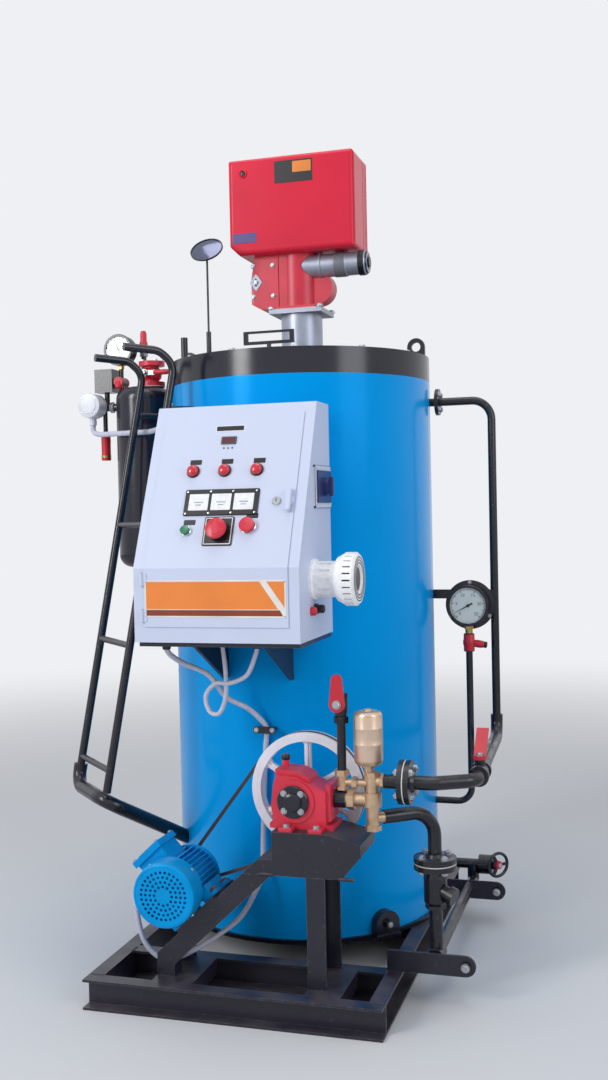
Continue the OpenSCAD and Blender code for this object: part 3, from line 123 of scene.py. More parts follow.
look = np.array([-math.sin(CAMERA_TURN) * math.cos(CAMERA_DIP),
                 math.cos(CAMERA_TURN) * math.cos(CAMERA_DIP), -math.sin(CAMERA_DIP)])
level = np.array([math.cos(CAMERA_TURN), math.sin(CAMERA_TURN), 0.0])
over = np.cross(level, look)
right = level * math.cos(CAMERA_ROLL) - over * math.sin(CAMERA_ROLL)
above = over * math.cos(CAMERA_ROLL) + level * math.sin(CAMERA_ROLL)
camera = shown("camera", bpy.data.cameras.new("camera"), (right, above, -look, CAMERA_AT))
camera.data.lens = FOCAL_PIXELS / PICTURE_HEIGHT * LONG_SIDE
camera.data.sensor_width = LONG_SIDE
camera.data.clip_end = 60
scene.camera = camera
scene.view_settings.view_transform = "Standard"

soft_lamp("lamp_left", (-3.1, -4.6, 3.4), (1.4, 3.2), 142, "FFFFFF", (0, -0.2, 1.1))
soft_lamp("lamp_right", (4.6, -2.6, 2.8), (2.2, 2.6), 58, "F4F7FF", (0, -0.2, 1.1))
soft_lamp("lamp_over", (0.2, -0.6, 5.6), (3.0, 3.0), 60, "FFFFFF", (0, -0.1, 0.8))

scene.world = bpy.data.worlds.new("studio")
tree = emptied(scene.world)
seen = add(tree, "LightPath").outputs
plainly = seen["Is Camera Ray"]
for ray in ("Is Glossy Ray", "Is Transmission Ray"):
    plainly = add(tree, "Math", {0: plainly, 1: seen[ray]}, operation="MAXIMUM").outputs[0]
shared_out(tree, "OutputWorld", plainly, add(tree, "Background", {"Color": linear("F4F6FA"), "Strength": 0.5}),
           add(tree, "Background", {"Color": linear(BACKDROP), "Strength": 1.0}))

floor_mesh = bpy.data.meshes.new("floor")
floor_mesh.from_pydata([(x * FLOOR_HALF, y * FLOOR_HALF, 0) for x, y in ((-1, -1), (1, -1), (1, 1), (-1, 1))], [],
                       [(0, 1, 2, 3)])
floor = shown("floor", floor_mesh)
plain = bpy.data.materials.new("pale_floor")
tree = emptied(plain)
away = add(tree, "VectorMath", {0: add(tree, "TexCoord").outputs["Object"]}, operation="LENGTH").outputs["Value"]
fade = ranged(tree, away, FADE_START, FADE_END, interpolation_type="SMOOTHSTEP")
fade = product(tree, fade, add(tree, "LightPath").outputs["Is Camera Ray"])
shared_out(tree, "OutputMaterial", fade, add(tree, "BsdfDiffuse", {"Color": linear("D9DBDE")}),
           add(tree, "Emission", {"Color": linear(BACKDROP)}))
floor_mesh.materials.append(plain)

# ---- Skid
# Two end rails, two side rails and cross members of 75 mm rolled steel channel, with two flat lengths under the stand.
# They are sawn, fillet welded and brushed with black gloss: dust lies on the upper faces, and boots rub the edges grey.
BARE_EDGE, EDGE_RADIUS, BUMP_HEIGHT = "85858C", 0.0025, 0.0006
WELD_THROAT, WELD_RIPPLE, CREASE = 4.5, 4.5, math.radians(32)


def noise(tree, where, size, detail, rough=0.5):
    """Clouds of a size in millimetres."""
    return add(tree, "TexNoise", {"Vector": where, "Scale": 1000 / size, "Detail": detail, "Roughness": rough})


def painted_steel(name, colours, dusty, scuffed, roughness, patch=90, rub=12, mark=3.5, relief=0.25, drift=0.12,
                  metal=0.0, edges=0.0, sheen="FFFFFF"):
    """Paint or bare metal that drifts in shade over patches, with dust on what faces up and paler rubbed spots; its
    colours are the paint's, the dust's and the rubs'. Dust = upward part of the normal x clouds; rub = fine noise over
    a threshold; edges = turn of the bevelled normal. Sheen is the gloss's colour seen head on, white for a varnish."""
    paint, dust, scuff = (linear(colour) for colour in colours.split())
    made = bpy.data.materials.new(name)
    tree = emptied(made)
    where = add(tree, "TexCoord").outputs["Object"]
    normal = add(tree, "NewGeometry").outputs["Normal"]
    clouds = noise(tree, where, patch, 5.0)
    specks = noise(tree, where, rub, 8.0, 0.7)
    lies = ranged(tree, add(tree, "SeparateXYZ", {0: normal}).outputs["Z"], 0.1, 0.95)
    dust_share = product(tree, product(tree, lies, ranged(tree, clouds, 0.35, 0.7)), dusty)
    shade = ranged(tree, clouds, 0.3, 0.7, 1 - drift, 1 + drift)
    tint = add(tree, "HueSaturation", {"Value": shade, "Color": paint})
    layers = [(ranged(tree, specks, 0.6, 0.68, 0.0, scuffed), scuff)]
    if edges:
        soft = add(tree, "Bevel", {"Radius": EDGE_RADIUS}, samples=6)
        alike = add(tree, "VectorMath", {0: soft, 1: normal}, operation="DOT_PRODUCT").outputs["Value"]
        broken = ranged(tree, specks, 0.42, 0.6, 0.0, edges)
        layers.append((product(tree, ranged(tree, alike, 0.97, 0.8), broken), linear(BARE_EDGE)))
    for share, colour in [*layers, (dust_share, dust)]:
        tint = add(tree, "Mix", {0: share, 6: tint, 7: colour}, data_type="RGBA").outputs[2]
    dull = ranged(tree, dust_share, 0.0, 1.0, roughness, 0.85)
    strokes = noise(tree, where, mark, 3.0)
    bump = add(tree, "Bump", {"Height": strokes, "Strength": relief, "Distance": BUMP_HEIGHT})
    skin = add(tree, "BsdfPrincipled", {"Base Color": tint, "Roughness": dull, "Metallic": metal, "Normal": bump,
                                        "Specular Tint": linear(sheen)})
    add(tree, "OutputMaterial", {"Surface": skin})
    return made


def finish(material, *names):
    """Gives CAD nodes one finish."""
    for name in names:
        mesh = solids[name].data
        mesh.materials.clear()
        mesh.materials.append(material)


def box_mm(name):
    """The lower and upper corners of a CAD node's box, in millimetres."""
    return np.array(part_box(name)) * 1000


def capped(rings):
    """Closes a stack of rings at both ends with a row of points at each end ring's middle."""
    ends = [np.repeat(ring.mean(0, keepdims=True), rings.shape[1], 0) for ring in (rings[0], rings[-1])]
    return np.concatenate([ends[:1], rings, ends[1:]])


def carried(path, radius, sides=10, lean=(0.13, 0.21, 0.97)):
    """A round bar along a path: ring i = path[i] + radius[i] x (cos a side_i + sin a over_i), where side is lean less
    its part along the path and over is square to both."""
    path, lean = np.asarray(path, float), np.asarray(lean, float)
    radius = np.broadcast_to(np.asarray(radius, float), (len(path),))[:, None, None]
    ahead = np.gradient(path, axis=0)
    ahead /= np.linalg.norm(ahead, axis=1, keepdims=True)
    side = lean - ahead * (ahead @ lean)[:, None]
    side /= np.linalg.norm(side, axis=1, keepdims=True)
    beyond = np.cross(ahead, side)
    a = np.linspace(0, 2 * np.pi, sides, endpoint=False)[None, :, None]
    return capped(path[:, None] + radius * (np.cos(a) * side[:, None] + np.sin(a) * beyond[:, None]))


def piece(name, slot, *finishes, body="boiler"):
    """One object that rides on a body, from (material, shells) pairs. A shell is rows x columns x 3 points in
    millimetres whose last column joins the first. Doubles are merged, faces turned outward and flat edges smoothed."""
    points, faces, kinds, count = [], [], [], 0
    for kind, (_, shells) in enumerate(finishes):
        for shell in shells:
            rows, columns = shell.shape[:2]
            r, c = np.meshgrid(np.arange(rows - 1), np.arange(columns), indexing="ij")
            n = (c + 1) % columns
            quads = [row * columns + column for row, column in ((r, c), (r, n), (r + 1, n), (r + 1, c))]
            points.append(shell.reshape(-1, 3) / 1000)
            faces.append(np.stack(quads, -1).reshape(-1, 4) + count)
            kinds.append(np.full(len(faces[-1]), kind))
            count += rows * columns
    mesh = bpy.data.meshes.new(name)
    mesh.from_pydata(np.concatenate(points).tolist(), [], np.concatenate(faces).tolist())
    mesh.polygons.foreach_set("material_index", np.concatenate(kinds))
    shape = bmesh.new()
    shape.from_mesh(mesh)
    bmesh.ops.remove_doubles(shape, verts=shape.verts, dist=1e-6)
    bmesh.ops.recalc_face_normals(shape, faces=shape.faces)
    shape.to_mesh(mesh)
    shape.free()
    for material, _ in finishes:
        mesh.materials.append(material)
    mesh.shade_smooth()
    mesh.set_sharp_from_angle(angle=CREASE)
    made = shown(name, mesh)
    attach(made, body)
    return made


def weld(p, q, rings):
    """A fillet bead from p to q: its radius swells once for each drop, throat x (1 + 0.16 sin(2 pi s / ripple))."""
    p, q = np.asarray(p, float), np.asarray(q, float)
    drops = np.linalg.norm(q - p) / WELD_RIPPLE
    t = np.linspace(0, 1, rings)
    return carried(p + (q - p) * t[:, None], WELD_THROAT * (1 + 0.16 * np.sin(2 * np.pi * t * drops)), 8)


skid_paint = painted_steel("skid_black_gloss", "292633 5F5B60 4E4F5A", 0.6, 0.45, 0.3, edges=0.7)
finish(skid_paint, "skid_end_rails", "skid_side_rails", "skid_cross_members")
(skid_left, _, _), (skid_right, _, skid_top) = box_mm("skid_end_rails")
(_, rail_front, _), (_, rail_back, _) = box_mm("skid_side_rails")
(cross_left, _, _), (cross_right, _, _) = box_mm("skid_cross_members")
bead_z = skid_top - 3
beads = [weld((x + inward * 5, y, bead_z), (x + inward * 38, y, bead_z), 36)
         for x, inward in ((skid_left, 1), (skid_right, -1)) for y in (rail_front, rail_back)]
beads += [weld((x, -520, bead_z), (x, -490, bead_z), 33) for x in (cross_left, cross_right)]
piece("skid_welds", "frame_black", (skid_paint, beads))

# ---- Base plate and its clamp
# The plate is flame cut, 11 mm thick, and carries the casing. A cast clamp with one bolt holds the casing's foot, and
# the same black gloss covers both. The bolt head is bare where a spanner has turned it.
FRONT, BACK, RIGHT, UP = (0, -1, 0), (0, 1, 0), (1, 0, 0), (0, 0, 1)
CLAMP_TURN, CLAMP_FACE, CLAMP_BOLT_Z = -43, 412.1, 113

black_gloss = painted_steel("black_gloss_enamel", "1C1C29 4A4950 34353E", 0.4, 0.3, 0.17)
finish(black_gloss, "boiler_base_plate")
zinc = painted_steel("zinc_plate", "B4B7BD 8A8886 D2D5DA", 0.2, 0.4, 0.32, patch=30, rub=4, mark=1, metal=0.9)


def turned(profile, steps=32):
    """A turned form about Z: ring i = (r_i cos a, r_i sin a, z_i) for each (r, z). Both ends are closed level with
    their last point, but a profile that ends where it begins is a ring."""
    if profile[0] != profile[-1]:
        profile = [(0, profile[0][1]), *profile, (0, profile[-1][1])]
    r, z = np.asarray(profile, float).T[:, :, None]
    a = np.linspace(0, 2 * np.pi, steps, endpoint=False)[None, :]
    return np.stack(np.broadcast_arrays(r * np.cos(a), r * np.sin(a), z), -1)


def placed(shell, at, up=UP, along=RIGHT):
    """Moves a shell so that its Z axis lies along up, its X axis as near along as it can, and its origin at a point."""
    up = np.asarray(up, float) / np.linalg.norm(up)
    along = np.asarray(along, float) - up * (np.asarray(along, float) @ up)
    if np.linalg.norm(along) < 1e-6:
        along = np.cross(BACK, up)
    along = along / np.linalg.norm(along)
    return shell @ np.stack([along, np.cross(up, along), up]) + np.asarray(at, float)


def spun(profile, steps, at, up=UP, along=RIGHT):
    """A turned form in its place."""
    return placed(turned(profile, steps), at, up, along)


def drum(radius, low, high, steps, at, up=UP):
    """A plain cylinder or prism between two heights."""
    return spun([(radius, low), (radius, high)], steps, at, up)


def bolts(size, spots, up):
    """Hexagon heads on washers, standing on the face that they hold; size is their thread's diameter."""
    r, low, high = size * 1.6 / math.sqrt(3), size * 0.16, size * 0.8
    return [form for at in spots for form in (drum(size * 1.1, 0, low, 20, at, up),
                                              spun([(r, low), (r, high * 0.85), (r * 0.86, high)], 6, at, up))]


def bolt_circle(at, up, radius, count=4, start=45):
    """Points on a circle round a point, square to an axis, and the directions to them from its middle."""
    side = np.array(UP if abs(up[2]) < 0.9 else RIGHT, float)
    a = np.radians(start + 360 / count * np.arange(count))[:, None]
    outward = np.cos(a) * side + np.sin(a) * np.cross(up, side)
    return np.asarray(at) + radius * outward, outward


def heading(turn):
    """The level direction at a turn in degrees from X."""
    return np.array([math.cos(math.radians(turn)), math.sin(math.radians(turn)), 0.0])


clamp_at = heading(CLAMP_TURN) * CLAMP_FACE + (0, 0, CLAMP_BOLT_Z)
piece("clamp_bolt_face", "bright_steel",
      (zinc, [spun([(7.5, 0), (7, 1.2), (0, 1.6)], 24, clamp_at, heading(CLAMP_TURN))]))

# ---- Casing
# Sheet of 5 mm rolled to a tube and closed by a lapped strip with dome rivets, at the front left. The blue gloss is
# sprayed: orange peel of about 4 mm, a slow drift of shade, and a few darker rubs. A black clip holds the motor's lead.
CASING_RADIUS, SEAM_TURN, SEAM_WIDTH, SEAM_RISE, RIVET_PITCH = 375, 196, 30, 1.2, 90
CLIP_AT = np.array([0, -398.5, 645])

shell_paint = painted_steel("casing_blue_gloss", "009EEC 4FAEE6 0682CC", 0.1, 0.2, 0.2, patch=250, rub=30, mark=4,
                            relief=0.08, drift=0.04, sheen="3FA4F0")
finish(shell_paint, "boiler_casing")


def slab(width, height, corner, thick, edge=0.4, steps=6):
    """A flat plate with round corners: each corner's centre + corner x (cos a, sin a) over a quarter turn."""
    a = np.linspace(0, np.pi / 2, steps) + np.arange(4)[:, None] * np.pi / 2
    middle = np.array([[1, 1], [-1, 1], [-1, -1], [1, -1]]) * (width / 2 - corner, height / 2 - corner)
    outline = middle[:, None] + corner * np.stack([np.cos(a), np.sin(a)], -1)
    return plate(outline.reshape(-1, 2), thick, edge)


def plate(outline, thick, edge=0.4):
    """A flat plate: three rings of its outline, the last drawn in by the edge's rounding."""
    outline = np.asarray(outline, float)
    middle = outline.mean(0)
    inner = middle + (outline - middle) * (1 - edge / np.abs(outline - middle).max(0))
    rings = [(outline, 0), (outline, thick - edge), (inner, thick)]
    return capped(np.stack([np.column_stack([ring, np.full(len(ring), z)]) for ring, z in rings]))


(_, _, shell_foot), (_, _, shell_head) = box_mm("boiler_casing")
# The strip is 8 points across, at the casing's radius + a share of its rise, at each of 30 heights.
across = np.array([-1, -0.97, -0.85, 0.85, 0.97, 1, 0.5, -0.5]) * SEAM_WIDTH / 2 / CASING_RADIUS
across += math.radians(SEAM_TURN)
radius = CASING_RADIUS + np.array([0, 0.5, 1, 1, 0.5, 0, -0.4, -0.4]) * SEAM_RISE
heights = np.linspace(shell_foot + 1, shell_head - 1, 30)[:, None]
seam = [capped(np.stack(np.broadcast_arrays(radius * np.cos(across), radius * np.sin(across), heights), -1))]
seam_out = heading(SEAM_TURN)
seam += [spun([(0, 2.2), (2, 2), (3.6, 0.9), (4, 0), (0, -0.5)], 12,
              seam_out * (CASING_RADIUS + SEAM_RISE) + (0, 0, z), seam_out)
         for z in np.arange(shell_foot + 40, shell_head, RIVET_PITCH)]
piece("casing_seam", "shell_blue", (shell_paint, seam))
clip = [placed(slab(62, 18, 8, 4), CLIP_AT, FRONT)]
clip += [drum(5.5, -23.5, 1, 14, CLIP_AT + (x, 0, 0), FRONT) for x in (-22, 22)]
piece("lead_clip", "gloss_black", (black_gloss, clip),
      (zinc, bolts(6, [CLIP_AT + (x, -4, 0) for x in (-22, 22)], FRONT)))

# ---- Top ring, cover and lugs
# A rolled 5 mm ring stands on the casing with a flat cover let into it and held by twelve bolts, and two flame cut
# lugs lift the boiler. All are black gloss, dusty on the flat. A silver hatch, a handle frame and a vent stand on top.
COVER_BOLT_CIRCLE, HATCH_X, HATCH_Y, HATCH_SCREW_CIRCLE = 348, -65, -170, 50.5

finish(black_gloss, "casing_top_ring", "casing_top_cover", "lifting_lugs", "top_fittings")
cover_top = box_mm("casing_top_cover")[1][2]
cover_bolts, _ = bolt_circle((0, 0, cover_top), UP, COVER_BOLT_CIRCLE, 12, 15)
piece("cover_bolts", "bright_steel", (zinc, bolts(10, cover_bolts, UP)))
silver = painted_steel("aluminium_paint", "A4AABA 85837F C4C7CC", 0.35, 0.3, 0.38, patch=50, mark=2, metal=0.55)
hatch = spun([(55.2, 0.1), (55.2, 11.2), (53.5, 12.2), (48.2, 12.3), (20.2, 26.2), (0, 26.4)], 48,
             (HATCH_X, HATCH_Y, cover_top))
hatch_screws, _ = bolt_circle((HATCH_X, HATCH_Y, cover_top + 12.2), UP, HATCH_SCREW_CIRCLE, 6, 0)
piece("hatch_skin", "tube_silver", (silver, [hatch]), (zinc, bolts(6, hatch_screws, UP)))

# ---- Inspection mirror
# A round mirror in a pressed steel rim on a 6 mm rod, tilted down so that the chimney can be seen from the panel.
# The glass is silvered float glass with a faint blue cast, and the rod and rim are painted black.
MIRROR_AT, MIRROR_TILT = (-226, -150, 1966), math.radians(50)

finish(black_gloss, "inspection_mirror")
mirror_glass = painted_steel("silvered_glass", "6A6E84 5C5F70 767A90", 0.1, 0.0, 0.05, relief=0.0, metal=1.0)
disc = spun([(44.3, 1.1), (44.3, 2.2), (40, 2.7), (20, 3.2), (0, 3.4)], 48, MIRROR_AT,
            (0, -math.sin(MIRROR_TILT), math.cos(MIRROR_TILT)))
piece("mirror_glass", "mirror_glass", (mirror_glass, [disc]))

# ---- Flue collar and blast tube
# The collar is rolled and welded to the casing's back. The blast tube is bare rolled steel under aluminium paint, which
# streaks and darkens with heat, with a square flange that four bolts and a pale gasket join to the burner.
TUBE_X, GASKET_Z, TUBE_BOLT_Z = 8, 1797.8, 1799.5

finish(black_gloss, "flue_collar")
finish(silver, "blast_tube")
gasket_white = painted_steel("gasket_board", "D9D7CE B0ADA2 EFEDE6", 0.2, 0.3, 0.8)
tube_bolts = bolts(10, [(TUBE_X + x, y, TUBE_BOLT_Z) for x in (-72.5, 72.5) for y in (-64.5, 64.5)], UP)
piece("burner_gasket", "bright_steel", (gasket_white, [placed(slab(156.2, 140.2, 4, 1.6), (TUBE_X, 0, GASKET_Z))]),
      (zinc, tube_bolts))

# ---- Burner
# A cast aluminium body with the air lobe on its left carries a pressed steel cover, both stove enamelled red. The body
# shows the casting's grain of about 2 mm. Plates and a round sight port sit on the cover, all of them left bare.
RED_WEAR, COVER_FRONT, BODY_FRONT = " B06A74 E4566A", -85, -52
PORT_AT, LOBE_PLATE_X, LOBE_PLATE_Z = (-135, COVER_FRONT, 2190), -113, 1883

red_enamel = painted_steel("red_stove_enamel", "DA2A42" + RED_WEAR, 0.22, 0.15, 0.26, patch=150, mark=5, relief=0.06,
                           drift=0.07, sheen="F6A8B0")
red_cast = painted_steel("red_cast_enamel", "D62E46" + RED_WEAR, 0.3, 0.25, 0.32, patch=60, mark=2, relief=0.5,
                         drift=0.1)
finish(red_enamel, "burner_cover")
finish(red_cast, "burner_body")
bakelite = painted_steel("black_bakelite", "16161A 4A4849 2A2A30", 0.3, 0.25, 0.3, relief=0.05)
label_orange = painted_steel("orange_printed_foil", "E8862E C08A5A F0A050", 0.1, 0.1, 0.35, relief=0.03)
label_violet = painted_steel("violet_printed_foil", "4C3F86 6A6478 6A60A0", 0.1, 0.1, 0.35, relief=0.03)
piece("burner_labels", "burner_red",
      (bakelite, [placed(slab(113, 63, 3, 0.8), (16.5, COVER_FRONT, 2184.5), FRONT)]),
      (label_orange, [placed(slab(55, 31, 2, 0.7), (41.5, COVER_FRONT - 0.8, 2195.5), FRONT)]),
      (label_violet, [placed(slab(72, 28, 2, 0.7), (-134, COVER_FRONT, 2006), FRONT)]))
port = [(8, 0.8), (8.5, 3.5), (10.5, 4), (12, 3), (12.5, 0), (0, -0.5)]
piece("burner_port", "burner_red", (red_enamel, [spun(port, 28, PORT_AT, FRONT)]),
      (bakelite, [spun([(7.8, 0.8), (6, 2.2), (0, 2.8)], 24, PORT_AT, FRONT)]))
diamond = plate([(19, 0), (0, 26), (-19, 0), (0, -26)], 1.6, 0.6)
lobe_bolts = bolts(7, [(LOBE_PLATE_X, BODY_FRONT - 1.6, LOBE_PLATE_Z)], FRONT)
lobe_bolts += bolts(6, [(x, BODY_FRONT, z) for x in (-122, -62) for z in (1842, 1930)], FRONT)
piece("lobe_plate", "bright_steel", (silver, [placed(diamond, (LOBE_PLATE_X, BODY_FRONT, LOBE_PLATE_Z), FRONT)]),
      (zinc, lobe_bolts))

# ---- Burner motor
# A die cast shell, sprayed with aluminium paint, with a darker band round its middle and a black moulded end cap.
BURNER_MOTOR = dict(at=(20, -20, 1922), up=RIGHT, along=UP)

finish(silver, "burner_motor")
motor_band = painted_steel("band_grey_enamel", "6F727B 75736F 8F929A", 0.3, 0.3, 0.4)
band = [(35.3, 100.5), (35.6, 103.5), (35.6, 125.5), (35.3, 131.5)]
end_cap = [(35.8, 170.5), (35.8, 187.5), (29.5, 195.7), (14.2, 196.3), (14.2, 200.2)]
piece("burner_motor_band", "tube_silver", (motor_band, [spun(band, 40, **BURNER_MOTOR)]),
      (bakelite, [spun(end_cap, 40, **BURNER_MOTOR)]))

# ---- Control panel
# A folded steel cabinet with a sloping door on two lift-off hinges, powder coated light grey with a fine orange peel.
# A steel tray and gussets carry it off the casing; their black gloss is partly painted shadow, standing in for the
# panel's shadow on the casing under it. A turned lock and a pale bar handle keep the door shut.
DOOR_FRONT, KINK_Z, SLOPE, SLOPE_LENGTH = -688, 1085, math.radians(24.54), 414.4
HANDLE_AT, LOCK_AT = (149, 242), (117, 242)

powder_coat = painted_steel("grey_powder_coat", "CDD6EE A9A8AC BCC0CC", 0.35, 0.12, 0.42, patch=160, rub=20, mark=1.2,
                            relief=0.12, drift=0.03)
finish(powder_coat, "panel_cabinet", "panel_door")
# The tray's black gloss is a real bracket and also painted shadow where the panel shades the casing.
finish(skid_paint, "panel_tray")
door_out = np.array([0.0, -math.cos(SLOPE), math.sin(SLOPE)])
door_up = np.array([0.0, math.sin(SLOPE), math.cos(SLOPE)])


def on_door(shell, x, down, lift=0.0):
    """Places a shell on the door's sloping face, at a distance down from its top edge and a lift off its paint."""
    return placed(shell, (x, DOOR_FRONT, KINK_Z) + door_up * (SLOPE_LENGTH - down) + door_out * lift, door_out)


chrome = painted_steel("chrome_plate", "D4D6DA 8C8A88 E0E2E6", 0.15, 0.2, 0.14, patch=30, mark=1, relief=0.04,
                       metal=1.0)
handle = [on_door(turned([(13, 0), (13, 4.5), (11.5, 6)]), *HANDLE_AT), on_door(slab(14, 60, 6, 8, 2), *HANDLE_AT, 6)]
lock = turned([(11.2, 0), (11.2, 3.5), (9.8, 5), (6.2, 5), (5.8, 4.2)])
piece("door_handle", "control_mix", (powder_coat, handle), (chrome, [on_door(lock, *LOCK_AT)]),
      (bakelite, [on_door(slab(2.2, 8.5, 0.8, 0.4), *LOCK_AT, 4.3)]), body="door")
piece("hinge_pins", "panel_grey", (chrome, [drum(2.6, -1.5, 31.5, 16, (-209, -691, z)) for z in (955, 1043)]))

# ---- Door lamps and buttons
# Three red domed lamps of 22 mm size with black bezels, a green and a red flush button, and a red mushroom on a black
# square. Each has a black legend plate of engraved laminate beside it, left bare. All are moulded plastic, clipped in.
LAMPS_AT, STOP_AT = [(x, 156.4) for x in (-110, -27, 57)], (-22, 319.4)


def moulded_plastic(name, colour, roughness, mark=1, lit=0.0, coat=0.0):
    """Moulded plastic: its shade drifts by a twelfth over a centimetre and its skin has fine flow marks."""
    made = bpy.data.materials.new(name)
    tree = emptied(made)
    where = add(tree, "TexCoord").outputs["Object"]
    shade = ranged(tree, noise(tree, where, 10, 3.0), 0.3, 0.7, 0.92, 1.08)
    tint = add(tree, "HueSaturation", {"Value": shade, "Color": linear(colour)})
    bump = add(tree, "Bump", {"Height": noise(tree, where, mark, 2.0), "Strength": 0.15, "Distance": 0.0002})
    skin = add(tree, "BsdfPrincipled", {"Base Color": tint, "Roughness": roughness, "IOR": 1.49, "Normal": bump,
                                        "Coat Weight": coat, "Emission Color": linear(colour),
                                        "Emission Strength": lit})
    add(tree, "OutputMaterial", {"Surface": skin})
    return made


red_lens = moulded_plastic("red_acrylic_lens", "C4182C", 0.12, mark=2, coat=0.6, lit=0.12)
red_button = moulded_plastic("red_moulded_button", "D22A40", 0.3)
green_button = moulded_plastic("green_moulded_button", "1F7A55", 0.3)
black_plastic = moulded_plastic("black_moulded_plastic", "17171B", 0.32)
white_plastic = moulded_plastic("white_engraved_laminate", "ECEEF2", 0.35)
bezel = turned([(17, 0), (17, 2.5), (15.8, 4), (14.6, 4), (14.6, 1)], 36)
lens = turned([(14.3, 1), (14.3, 8.5), (13.8, 10.5), (12.1, 13.2), (9.2, 14.9), (5, 15.8), (0, 16)], 36)
legend = slab(30, 13, 1, 1.2)
lamps = [on_door(lens, x, down) for x, down in LAMPS_AT]
bezels = [on_door(bezel, x, down) for x, down in LAMPS_AT]
bezels += [on_door(legend, x + 4, down - 25.5) for x, down in LAMPS_AT]
made = piece("door_lamps", "control_mix", (red_lens, lamps), (black_plastic, bezels), body="door")
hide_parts("door_controls")


def push_button(x, down, radius, rise, colour):
    """A flush button in a bright bezel: a turned cap whose face is dished by 0.6 mm."""
    ring = [(radius + 2, 0), (radius + 2, 2.8), (radius + 0.8, 4), (radius, 4), (radius, 1)]
    cap = [(radius - 0.4, 1), (radius - 0.4, rise + 3), (radius - 1.4, rise + 4), (radius * 0.7, rise + 3.6),
           (0, rise + 3.4)]
    return (chrome, [on_door(turned(ring, 36), x, down)]), (colour, [on_door(turned(cap, 36), x, down)])


piece("door_buttons", "control_mix", *push_button(-107, 317.4, 12, 8, green_button),
      *push_button(52, 307.4, 19, 12, red_button),
      (black_plastic, [on_door(legend, -100, 294.5), on_door(legend, 60, 279.5)]), body="door")
square = [on_door(slab(76, 76, 4, 3.4, 1), *STOP_AT), on_door(slab(66, 66, 2, 0.3), *STOP_AT, 3.8)]
mushroom = turned([(23.5, 15.5), (26.8, 18), (27, 21.5), (25.5, 24.8), (19, 27.2), (10, 27.9), (0, 28)], 44)
stop = [on_door(turned([(15, 4), (14.5, 16)]), *STOP_AT), on_door(mushroom, *STOP_AT),
        on_door(slab(12, 40, 5, 1.5, 1.2), *STOP_AT, 27.2)]
piece("stop_switch", "control_mix", (black_plastic, square),
      (white_plastic, [on_door(slab(70, 70, 3, 0.4), *STOP_AT, 3.4)]), (red_button, stop), body="door")

# ---- Door windows and display
# A black moulded frame holds three white windows with small bright screws between them. Above the lamps there are a
# dark red display with three dots under it, and a bare legend strip with a pale edge.
FRAME_X, FRAME_DOWN, WINDOW_PITCH, DISPLAY_AT, STRIP_AT = -24, 242.4, 58.5, (-26.5, 72.4), (-27, 38.4)

window_xs = [FRAME_X + WINDOW_PITCH * k for k in (-1, 0, 1)]
windows = [on_door(slab(51, 44, 2, 1.2, 0.6), x, FRAME_DOWN, 3.8) for x in window_xs]
sills = [on_door(slab(wide, 2.4, 0.6, 0.3), x, FRAME_DOWN + d, 5)
         for x in window_xs for wide, d in ((24, 0.5), (15, 7.5))]
pins = [on_door(turned([(2.6, 0), (2.4, 0.8), (0, 1.2)], 16), FRAME_X + x, FRAME_DOWN + d, 4)
        for x in (-89.5, -29, 29, 89.5) for d in (-29, 29)]
window_mark = moulded_plastic("grey_window_rule", "8E93A2", 0.4)
piece("door_windows", "control_mix", (black_plastic, [on_door(slab(192, 70, 4, 4, 1.2), FRAME_X, FRAME_DOWN)]),
      (white_plastic, windows), (window_mark, sills), (chrome, pins), body="door")
dots = [on_door(turned([(2.1, 0), (1.9, 1.2), (0, 1.5)], 16), DISPLAY_AT[0] + x, 93.5) for x in (-11, 0, 11)]
dark_red = moulded_plastic("dark_red_display_window", "5A1420", 0.08, mark=2, coat=0.8)
display_grey = moulded_plastic("grey_moulded_bezel", "4C4E56", 0.4)
piece("door_display", "control_mix", (display_grey, [on_door(slab(40, 21, 1.5, 3, 0.8), *DISPLAY_AT)]),
      (dark_red, [on_door(slab(34, 15, 1, 0.6), *DISPLAY_AT, 2.8)]),
      (black_plastic, dots + [on_door(slab(72, 12.8, 1, 1.2), *STRIP_AT)]),
      (white_plastic, [on_door(slab(76, 16.5, 1, 0.6), *STRIP_AT)]), body="door")

# ---- Bare orange plate
# A sheet aluminium plate across the foot of the door, printed orange with a white border, a dark band along its foot
# and a white slash at its upper right. Nothing is written on it. Four small screws hold its corners.
PLATE_X, PLATE_Z, PLATE_THICK, PRINT_THICK = -21.5, 1011.5, 1.2, 0.3


def on_plate(outline, lift, thick):
    """A printed field on the orange plate: its outline from the plate's middle, in a thin raised layer."""
    return placed(plate(outline, thick, 0.1), (PLATE_X, DOOR_FRONT - lift, PLATE_Z), FRONT)


plate_white = painted_steel("white_printed_aluminium", "E6E4E0 B8B2AA CFCBC6", 0.1, 0.2, 0.35, relief=0.03)
plate_orange = painted_steel("orange_printed_aluminium", "F0893A C88A58 E29A5C", 0.1, 0.2, 0.35, relief=0.03,
                             drift=0.04)
plate_brown = painted_steel("brown_printed_aluminium", "8A3A1E 9A6A50 A0583A", 0.1, 0.2, 0.35, relief=0.03)
w, h = 180, 45
backing = on_plate([(-w, -h), (w, -h), (w, h), (-w, h)], 0.0, PLATE_THICK)
field = [(-w + 4, -h + 20), (w - 20, -h + 20), (w - 66, h - 4), (-w + 4, h - 4)]
corner = [(w - 4, -h + 24), (w - 4, h - 4), (w - 48, h - 4)]
foot_band = [(-w + 4, -h + 4), (w - 8, -h + 4), (w - 16, -h + 18), (-w + 4, -h + 18)]
orange, orange_corner, brown = (on_plate(shape, PLATE_THICK, PRINT_THICK) for shape in (field, corner, foot_band))
pins = [spun([(2.4, 0), (2, 1), (0, 1.3)], 14, (PLATE_X + x, DOOR_FRONT - 1.4, PLATE_Z + z), FRONT)
        for x in (-176.5, 176.5) for z in (-41.5, 41.5)]
